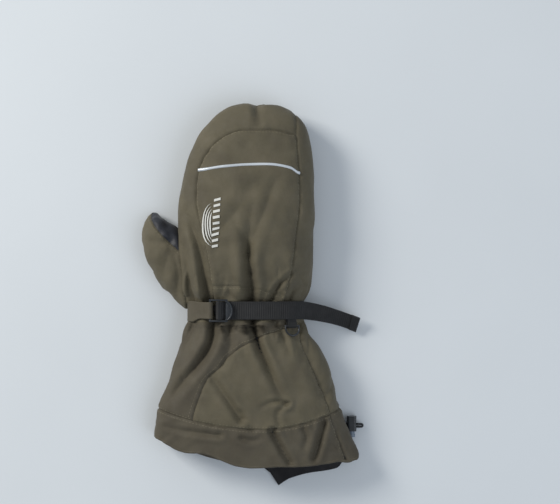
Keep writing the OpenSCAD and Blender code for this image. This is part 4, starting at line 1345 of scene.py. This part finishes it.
@dataclass
class Thumb:
    """The thumb: a cloth back, a grip patch round its inner side and front, and a gusset at its root."""

    form: ThumbForm = field(default_factory=ThumbForm)
    columns: int = 84
    rows: int = 64
    gusset: float = 20.0
    patch_keys: Keys = ((0, 68), (20, 68), (44, 66), (60, 66), (85, 70), (100, 84))
    map: SeamMap = field(default_factory=SeamMap)

    def cloth(self) -> Cloth:
        """Settle the thumb's cloth."""
        places = 100 * np.sin(np.radians(np.linspace(0, 90, self.rows)))
        angles = np.broadcast_to(np.linspace(-90, 270, self.columns + 1)[:-1],
                                 (self.rows, self.columns)).copy()
        points = self.form.section(places[:, None], angles)
        slack = 1.3 * ripple(points, 26, 41) + 0.5 * ripple(points, 13, 42)
        start = points + outward(points) * slack[..., None]
        centre = points.mean(axis=1, keepdims=True)
        cut = centre + (points - centre) * 1.05
        cut = cut + (cut - cut[:1].mean(axis=1, keepdims=True)) * 0.05
        settled = Drape(frames=18, pressure=1.0, cap=6.0).settle(points, start, cut,
                                                                 np.where(places < 14, 0.8, 0.12))
        settled[..., 2] = np.maximum(settled[..., 2], 0.5)
        facing = np.clip((outward(settled)[..., 2] - 0.05) / 0.4, 0, 1)
        for crease in (
            Crease(((-92, 30), (-88, 52), (-84, 72)), (1.0, 2.6), 5.5),
            Crease(((-104, 72), (-96, 70), (-86, 74)), (1.2, 1.6), 4.0),
            Crease(((-78, 12), (-76, 34), (-80, 60)), (3.0, 1.5), 5.0),
        ):
            settled = crease.press(settled, facing)
        return Cloth(places, angles, settled)

    def build(self) -> None:
        """Make the thumb's panels, stitches and inner layers."""
        cloth = self.cloth()
        patch = lambda y: smooth_keys(self.patch_keys, y)
        tip = level(99.9)

        def cut(name: str, start: Bound, end: Bound, first: Bound, last: Bound, finish: Finish,
                seams: tuple[Edge, ...]) -> Panel:
            """A panel of the thumb."""
            return Panel(name, cloth, start, end, first, last, finish, self.map, seams, strength=0.9,
                         puff=0.5, pucker=0.7)

        panels = {
            "back": cut("thumb_back_cloth", level(self.gusset), tip, patch, level(186), SHELL,
                        (Edge.FIRST, Edge.LAST)),
            "inner": cut("thumb_inner_grip", level(self.gusset), tip, level(-30), patch, PALM, ()),
            "grip": cut("thumb_front_grip", level(self.gusset), tip, level(186), level(330), PALM, ()),
            "gusset": cut("thumb_gusset_cloth", level(1), level(self.gusset), level(-90), level(270), SHELL,
                          (Edge.END,)),
        }
        nodes = {"back": "thumb_back_panel", "inner": "thumb_inner_patch", "grip": "thumb_grip_patch",
                 "gusset": "thumb_gusset"}
        for key, panel in panels.items():
            dress(panel.build(), "root", (nodes[key],))
        dress(cap("thumb_tip_cap", cloth, 99.9, 1.4, SHELL), "root")
        rows = stitch_rows(panels, {"back": (Edge.FIRST, Edge.START, Edge.LAST)})
        dress(sew("thumb_topstitching", rows, THREAD), "root")
        for name, node, inset, finish in (
            ("thumb_wadding", "thumb_insulation", 6.0, WADDING),
            ("thumb_lining_cloth", "thumb_lining", 8.5, LINING),
        ):
            points = self.form.section(np.linspace(24, 88, 30)[:, None], np.linspace(-90, 270, 49), inset)
            dress(make_mesh(name, points, grid_faces(*points.shape[:2]), finish, arc_lay(points)), "thumb",
                  (node,))


@dataclass
class Insides:
    """The layers inside the hand: wadding, waterproof film, lining, and the elastic at the wrist."""

    form: Form

    def layer(self, name: str, node: str, rows: tuple[float, float], turn: tuple[float, float],
              inset: float, finish: Finish) -> None:
        """Make one layer.

        Args:
            name: the piece's name.
            node: the CAD node it stands for.
            rows: its first and last place along the hand.
            turn: its first and last angle.
            inset: its depth under the form.
            finish: its finish.
        """
        y = np.linspace(*rows, 60)[:, None]
        points = self.form.section(y, np.linspace(*turn, 90), inset + 8 * (1 - ease((y - 40) / 60)))
        uneven = 0.5 * ripple(points, 20, 51) if turn[1] - turn[0] > 359 else np.zeros(points.shape[:2])
        points = points + outward(points) * uneven[..., None]
        piece = make_mesh(name, points, grid_faces(*points.shape[:2]), finish, arc_lay(points))
        dress(piece, "hand", (node,))

    def build(self) -> None:
        """Make every layer."""
        self.layer("back_wadding", "hand_insulation_back", (24, 202), (-6, 186), 7.0, WADDING)
        self.layer("palm_wadding", "hand_insulation_palm", (24, 202), (186, 354), 7.0, WADDING)
        self.layer("waterproof_film", "waterproof_insert", (22, 202), (-90, 270), 9.0, FILM)
        self.layer("hand_lining_cloth", "hand_lining", (18, 202), (-90, 270), 10.0, LINING)
        self.layer("wrist_lining_cloth", "wrist_lining", (-13, 24), (-90, 270), 8.5, LINING)
        self.layer("wrist_elastic_band", "wrist_elastic", (-9, 16), (190, 350), 7.5, ELASTIC)


# ---------------------------------------------------------------- strap and hardware


def band(name: str, middles: Grid, wides: Grid, width: float, thick: float, finish: Finish,
         rib: float = 2.3, depth: float = 0.4) -> bpy.types.Object:
    """A woven band with cross ribs and thick selvedges.

    Args:
        name: the piece's name.
        middles: its centre line.
        wides: unit vectors across it.
        width: its width, one value or one for each point.
        thick: its thickness.
        finish: its finish.
        rib: distance between ribs in millimetres.
        depth: height of a rib as a share of the thickness.

    Returns:
        The object.
    """
    middles, wides = np.asarray(middles, float), np.asarray(wides, float)
    walk = walked(middles)
    marks = np.linspace(0, walk[-1], max(8, int(walk[-1] / rib * 5)))
    line = resample(middles, walk, marks)
    side = resample(np.broadcast_to(wides, middles.shape), walk, marks)
    side /= np.linalg.norm(side, axis=1, keepdims=True)
    wide = np.interp(marks, walk, np.broadcast_to(width, walk.shape))
    up = unit(np.cross(side, np.gradient(line, axis=0)))
    ribs = 1 + depth * np.sin(2 * math.pi * marks / rib)
    profile = [(-0.5, 0.25), (-0.485, 0.5), (-0.45, 0.56), (-0.42, 0.5), (-0.2, 0.5), (0, 0.5), (0.2, 0.5),
               (0.42, 0.5), (0.45, 0.56), (0.485, 0.5), (0.5, 0.25)]
    profile = profile + [(x, -z) for x, z in reversed(profile)]
    rings, lay = [], []
    for x, z in profile:
        lift = z * thick * (ribs if abs(x) < 0.43 else 1.0)
        rings.append(line + side * (wide * x)[:, None] + up * np.broadcast_to(lift, marks.shape)[:, None])
        lay.append(np.stack([np.full_like(marks, x * float(np.mean(wide))), marks], -1))
    points, lays = np.stack(rings, 1), np.stack(lay, 1)
    rows, columns = points.shape[:2]
    faces = grid_faces(rows, columns, ring=True)
    faces += [tuple(range(columns)), tuple(reversed(range((rows - 1) * columns, rows * columns)))]
    probe = np.cross(points[1, 3] - points[0, 3], points[0, 4] - points[0, 3])
    if probe @ up[0] < 0:
        faces = flipped(faces)
    return make_mesh(name, points, faces, finish, lays)


def solid(name: str, outline: Sequence[tuple[float, float]], low: float, high: float, bevel: float,
          finish: Finish, place: Callable[[Grid], Grid]) -> bpy.types.Object:
    """A moulded plate with rounded edges.

    Args:
        name: the piece's name.
        outline: its outline, anticlockwise.
        low: its underside.
        high: its top.
        bevel: radius of its edges.
        finish: its finish.
        place: turns points of the plate's frame to the pattern's.

    Returns:
        The object.
    """
    count = len(outline)
    points = np.array([(x, y, z) for z in (low, high) for x, y in outline], float)
    faces = [tuple(reversed(range(count))), tuple(range(count, 2 * count))]
    faces += [(k, (k + 1) % count, count + (k + 1) % count, count + k) for k in range(count)]
    piece = make_mesh(name, place(points), faces, finish)
    edge = piece.modifiers.new("rounded_edges", "BEVEL")
    edge.width, edge.segments = bevel * MM, 3
    edge.limit_method, edge.angle_limit = "ANGLE", math.radians(38)
    return piece


@dataclass
class WristStrap:
    """The wrist strap: webbing from the palm round the little finger edge to the buckle, and its tail."""

    form: Form
    width: float = 19.0
    thick: float = 1.3
    base_lift: float = 1.25
    tail_lift: float = 2.95
    buckle: tuple[float, float] = (-32.01, 42.81)
    tilt: float = -7.336
    bar_height: float = 5.3
    bar_radius: float = 1.1
    leave: float = 32.0
    end_x: float = 115.5
    swing: float = 17.0

    def on_wrist(self, points: Grid) -> Grid:
        """Points of the buckle's frame, moved to the pattern's."""
        p = np.asarray(points, float)
        c, s = math.cos(math.radians(self.tilt)), math.sin(math.radians(self.tilt))
        return np.stack([
            self.buckle[0] + p[..., 0] * c + p[..., 2] * s, p[..., 1],
            self.buckle[1] - p[..., 0] * s + p[..., 2] * c
        ], -1)

    def round_wrist(self, turns: Grid, lift: float, y: float = 0.0) -> Grid:
        """A line round the wrist, standing off the form by lift."""
        return self.form.section(np.full(len(turns), y), turns, -lift)

    def build(self) -> None:
        """Make the strap, its turn round the bar, its tail, stop, anchor and the buckle with its tab."""
        start = float(self.form.angle_at(np.array(0.0), np.array(-25.5)))
        base = self.round_wrist(np.linspace(-75, start, 90), self.base_lift)
        dress(band("strap_webbing", base, ACROSS, self.width, self.thick, WEBBING), "hand",
              ("wrist_strap",))
        patch = np.stack([np.linspace(-22, 31, 30), np.zeros(30), np.full(30, 2.0)], -1)
        dress(band("strap_anchor_webbing", patch, ACROSS, 17, 1.0, WEBBING), "hand",
              ("strap_anchor_patch",))
        self.turn()
        self.tail(start)
        self.tab()
        self.ladder_lock()

    def turn(self) -> None:
        """The webbing's turn round the middle bar."""
        radius = self.bar_radius + 0.4 + self.thick / 2
        a = np.radians(np.linspace(292, 66, 22))
        arc = np.stack([radius * np.cos(a), np.zeros(22), self.bar_height + radius * np.sin(a)], -1)
        head = [(7.0, 0, 1.25), (5.2, 0, 1.35), (3.0, 0, self.bar_height - radius * 1.32)]
        foot = [(3.2, 0, self.bar_height + 0.7), (4.8, 0, self.bar_height - 1.0), (6.2, 0, 3.1),
                (7.4, 0, 2.95)]
        path = self.on_wrist(np.concatenate([head, arc, foot]))
        piece = band("strap_turn_webbing", path, ACROSS, self.width, self.thick, WEBBING)
        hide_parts("wrist_strap_turn")
        ends = [tuple(row_frame(self.on_wrist(np.array([x, 0, 4.0])))) for x in (7.0, 2.0)]
        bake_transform(piece)
        LOG.info("%s on hand and buckle", piece.name)

    def tail_line(self, start: float) -> tuple[Grid, Grid, Grid]:
        """The tail's centre line, its directions across, and its width."""
        on = self.round_wrist(np.linspace(start - 1.0, self.leave, 46), self.tail_lift)
        s = np.linspace(0, 1, 40)[1:, None]
        leave = on[-1]
        drop = leave[2] * 0.72
        run = leave + np.concatenate([
            (self.end_x - leave[0]) * s, -self.swing * s**1.6, -drop * (1.45 * s - 0.45 * s**2)
        ], 1)
        run[:, 2] += 2.2 * np.sin(s[:, 0] * 5.2) * s[:, 0]
        line = np.concatenate([on, run])
        share = np.concatenate([np.zeros(46), s[:, 0]])
        wide = np.stack([0.30 * share**1.3, np.ones_like(share), 0.52 * np.sin(share * 2.3) * share], -1)
        wide /= np.linalg.norm(wide, axis=1, keepdims=True)
        return line, wide, self.width - 2.2 * ease(share * 1.2)

    def tail(self, start: float) -> None:
        """The free tail and the folded stop at its end."""
        line, wide, width = self.tail_line(start)
        piece = band("strap_tail_webbing", line[:-3], wide[:-3], width[:-3], self.thick, WEBBING)
        dressed = [tuple(row_frame([x, 0, 40])) for x in (-22, 42)]
        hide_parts("wrist_strap_tail")
        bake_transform(piece)
        LOG.info("%s on hand and strap_tail", piece.name)
        stop = band("strap_end_fold", line[-6:], wide[-6:], width[-6:] + 0.3, 3.0, WEBBING, depth=0.12)
        dress(stop, "strap_tail", ("strap_stop",))

    def tab(self) -> None:
        """The olive tab that holds the buckle's near bar."""
        x, h = -9.0, self.bar_height
        radius = self.bar_radius + 0.9

        def arc(low: float, high: float, count: int) -> Grid:
            """An arc round the near bar, between two angles in degrees."""
            a = np.radians(np.linspace(low, high, count))
            return self.on_wrist(np.stack([x + radius * np.cos(a), np.zeros(count), h + radius * np.sin(a)],
                                          -1))

        near = float(self.form.angle_at(np.array(0.0), np.array(-49.5)))
        down = self.round_wrist(np.linspace(near, 174, 20), 2.4)
        path = np.concatenate([arc(60, -150, 16)[::-1], arc(60, 150, 8)[1:], down])
        spread = ease((np.arange(len(path)) - len(path) + 20) / 9)
        path[:, 1] -= 1.2 * spread
        dress(band("buckle_tab_cloth", path, ACROSS, 17.5 + 4.5 * spread, 1.7, SHADED_CLOTH, rib=4.0, depth=0.05),
              "hand", ("buckle_tab",))

    def ladder_lock(self) -> None:
        """The ladder lock: two rails, three bars and a D-shaped lift tab with ridges."""
        h, r = self.bar_height, self.bar_radius
        rail_y, rail = self.width / 2 + 1.45, 0.95
        parts = []
        for side in (-1, 1):
            y0, y1 = side * rail_y - rail, side * rail_y + rail
            box = [(-10.1, y0), (9.7, y0), (9.7, y1), (-10.1, y1)]
            parts.append(solid("ladder_lock_rail", box, h - r, h + r, 0.55, ACETAL, self.on_wrist))
        for x in (-9.0, 0.0, 8.6):
            a = np.linspace(0, 2 * math.pi, 21)[:-1]
            y = np.linspace(-rail_y, rail_y, 12)
            swell = 1 + 0.06 * np.cos(y / rail_y * math.pi)
            grid = np.stack([
                x + r * np.cos(a)[None] * swell[:, None], np.broadcast_to(y[:, None], (12, 20)),
                h + r * np.sin(a)[None] * swell[:, None],
            ], -1)
            parts.append(make_mesh("ladder_lock_bar", self.on_wrist(grid), grid_faces(12, 20, ring=True),
                                   ACETAL))
        a = np.radians(np.linspace(-90, 90, 26))
        lip = [(8.6 + 5.4 * math.cos(v), 8.6 * math.sin(v)) for v in a]
        parts.append(solid("ladder_lock_lift", lip, h + r - 1.4, h + r + 0.1, 0.45, ACETAL, self.on_wrist))
        for x in (10.2, 11.5, 12.7):
            span = 7.4 * math.sqrt(max(0.05, 1 - ((x - 8.6) / 5.4) ** 2))
            ridge = [(x - 0.28, -span), (x + 0.28, -span), (x + 0.28, span), (x - 0.28, span)]
            parts.append(solid("ladder_lock_ridge", ridge, h + r, h + r + 0.5, 0.2, ACETAL, self.on_wrist))
        rim = np.radians(np.linspace(-96, 96, 40))
        bow = np.stack([8.2 + 6.0 * np.cos(rim), 9.6 * np.sin(rim), np.full(40, h + r + 0.3)], -1)
        parts.append(tube("ladder_lock_rim", self.on_wrist(bow), 0.95, ACETAL))
        whole = join("ladder_lock", parts)
        dress(whole, "buckle", ("ladder_lock_buckle",))


def join(name: str, parts: list[bpy.types.Object]) -> bpy.types.Object:
    """Join meshes into one piece, with their modifiers applied.

    Args:
        name: the piece's name.
        parts: the meshes, of one finish.

    Returns:
        The object.
    """
    graph = bpy.context.evaluated_depsgraph_get()
    points, faces = [], []
    for part in parts:
        mesh = part.evaluated_get(graph).to_mesh()
        first = len(points)
        points += [np.array(v.co) / MM - SHIFT for v in mesh.vertices]
        faces += [tuple(first + i for i in p.vertices) for p in mesh.polygons]
    material, slot = parts[0].data.materials[0], parts[0]["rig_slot"]
    for part in parts:
        bpy.data.objects.remove(part)
    mesh = bpy.data.meshes.new(name)
    mesh.from_pydata([tuple(p) for p in row_frame(np.array(points))], [], faces)
    mesh.update()
    mesh.shade_smooth()
    mesh.set_sharp_from_angle(angle=math.radians(40))
    mesh.materials.append(material)
    piece = bpy.data.objects.new(name, mesh)
    bpy.context.collection.objects.link(piece)
    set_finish(piece, slot)
    return piece


@dataclass
class Hardware:
    """The ring in its tab, and the drawcord with its lock."""

    form: Form
    ring: tuple[float, float, float] = (44.5, -16.18, 41.23)
    ring_angle_x: float = 43.4
    ring_across: tuple[float, float, float] = (0.927, 0.0, -0.375)
    cord: float = 2.4

    def build(self) -> None:
        """Make the tab, the cord and its anchor, and give the moulded parts their finish."""
        self.ring_tab()
        self.drawcord()
        for node, finish in (
            ("d_ring", ACETAL), ("cord_lock_body", ACETAL), ("cord_lock_plunger", ACETAL_GREY),
            ("cord_lock_spring", STEEL)
        ):
            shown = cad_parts[node]
            for place in shown.material_slots:
                place.material = finish.material()
            LOG.info("%s keeps its CAD shape in %s", node, finish.name)

    def ring_tab(self) -> None:
        """The webbing tab that holds the ring."""
        turn = float(self.form.angle_at(np.array(-17.0), np.array(self.ring_angle_x)))
        foot = self.form.section(np.linspace(-3, -12.5, 8), np.full(8, turn), -0.8)
        back = self.form.section(np.linspace(-12.5, -7, 6), np.full(6, turn), -2.6)
        centre = np.array(self.ring)
        ahead = np.array([0.0, -1.0, 0.0])
        up = np.cross(ahead, self.ring_across)
        up = up if up[2] > 0 else -up
        a = np.radians(np.linspace(-80, 100, 16))
        loop = centre + 1.85 * (np.cos(a)[:, None] * ahead + np.sin(a)[:, None] * up)
        path = np.concatenate([foot, loop, back])
        dress(band("ring_tab_webbing", path, self.ring_across, 10, 0.95, WEBBING, rib=1.3), "hand",
              ("d_ring_tab",))

    def drawcord(self) -> None:
        """The hem's drawcord: out of a slit, through the lock, round and back."""
        y0 = -125.12
        a = np.radians(np.linspace(-75, 75, 9))
        half = [(96.2, 9.0), (98.6, 8.0), (101.0, 6.3), (103.4, 5.3), (108.0, 5.2), (113.0, 5.2),
                (116.5, 5.2), (119.0, 5.2)]
        near = [(x, y0 - 1.4, z) for x, z in half]
        far = [(x, y0 + 1.4, z) for x, z in reversed(half)]
        bend = [(119.3 + 1.4 * math.cos(v), y0 + 1.4 * math.sin(v), 5.2) for v in a]
        path = np.array(near + bend + far)
        piece = tube("drawcord_loop_cord", path, self.cord / 2, CORD)
        dress(piece, "gauntlet", ("drawcord_loop",))
        tuple(row_frame(path[0]))
        [tuple(p) for p in row_frame(path)]
        middle = np.stack([np.linspace(87.4, 97.8, 12), np.full(12, -127.4), np.linspace(1.95, 4.3, 12)],
                          -1)
        dress(band("drawcord_anchor_webbing", middle, ACROSS, 12, 1.1, WEBBING), "gauntlet",
              ("drawcord_anchor",))


def tube(name: str, path: Grid, radius: float, finish: Finish, sides: int = 14) -> bpy.types.Object:
    """A round cord along a path.

    Args:
        name: the piece's name.
        path: points that it follows.
        radius: its radius.
        finish: its finish.
        sides: sides of its section.

    Returns:
        The object.
    """
    walk = walked(path)
    marks = np.linspace(0, walk[-1], int(walk[-1] / 0.5))
    line = resample(path, walk, marks)
    ahead = np.gradient(line, axis=0)
    ahead /= np.linalg.norm(ahead, axis=1, keepdims=True)
    side = unit(np.cross(ahead, [0, 0, 1.0]))
    up = np.cross(side, ahead)
    a = np.linspace(0, 2 * math.pi, sides + 1)[:-1]
    twist = 1 + 0.04 * np.sin(marks[:, None] * 3.5 + 3 * a) * np.sin(marks[:, None] * 3.5 - 3 * a)
    points = line[:, None] + radius * twist[..., None] * (
        np.cos(a)[None, :, None] * side[:, None] + np.sin(a)[None, :, None] * up[:, None]
    )
    faces = flipped(grid_faces(len(line), sides, ring=True))
    faces += [tuple(reversed(range(sides))), tuple(range((len(line) - 1) * sides, len(line) * sides))]
    lay = np.stack([np.broadcast_to(a * radius, twist.shape), np.broadcast_to(marks[:, None], twist.shape)],
                   -1)
    return make_mesh(name, points, faces, finish, lay)


# ---------------------------------------------------------------- studio


@dataclass(frozen=True)
class Studio:
    """Pale floor, soft light from the upper left and a camera looking straight down."""

    look_at: tuple[float, float] = (30.6, 37.7)
    view_width: float = 594.0
    lens: float = 100.0

    def build(self) -> None:
        """Make the floor, lights, world and camera."""
        scene = bpy.context.scene
        mesh = bpy.data.meshes.new("studio_floor")
        mesh.from_pydata([(-4, -4, -0.0003), (4, -4, -0.0003), (4, 4, -0.0003), (-4, 4, -0.0003)], [],
                         [(0, 1, 2, 3)])
        mesh.materials.append(PAPER.material())
        floor = bpy.data.objects.new("studio_floor", mesh)
        bpy.context.collection.objects.link(floor)
        self.light("key", (-1.8, 1.15, 1.35), 0.9, 50.0, "fffaf2")
        self.light("fill", (1.5, -0.7, 1.9), 1.8, 15.0, "eef4ff")
        world = bpy.data.worlds.new("studio")
        world.use_nodes = True
        back = world.node_tree.nodes["Background"]
        back.inputs["Color"].default_value = linear("e3e9ef")
        back.inputs["Strength"].default_value = 0.55
        scene.world = world
        scene.view_settings.view_transform = "Standard"
        data = bpy.data.cameras.new("camera")
        data.lens, data.sensor_width = self.lens, 36
        data.clip_start, data.clip_end = 0.05, 20
        camera = bpy.data.objects.new("camera", data)
        bpy.context.collection.objects.link(camera)
        height = self.view_width * MM * self.lens / 36
        camera.location = (self.look_at[0] * MM, self.look_at[1] * MM, height + 0.03)
        scene.camera = camera

    @staticmethod
    def light(name: str, place: tuple[float, float, float], size: float, power: float, colour: str) -> None:
        """Add an area light that faces the middle of the floor."""
        data = bpy.data.lights.new(name, "AREA")
        data.energy, data.size, data.color = power, size, linear(colour)[:3]
        lamp = bpy.data.objects.new(name, data)
        lamp.location = place
        lamp.rotation_euler = (-Vector(place)).to_track_quat("-Z", "Y").to_euler()
        bpy.context.collection.objects.link(lamp)


def main() -> None:
    """Build the scene, sub-assembly by sub-assembly."""
    logging.basicConfig(level=logging.INFO, format="%(message)s")
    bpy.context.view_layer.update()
    Studio().build()
    form = Form()
    Hardware(form).build()
    WristStrap(form).build()
    cloth = ShellCut().cloth(form)
    HandShell(form, cloth).build()
    Gauntlet(form, cloth).build()
    Thumb().build()
    Insides(form).build()


if __name__ == "__main__":
    main()
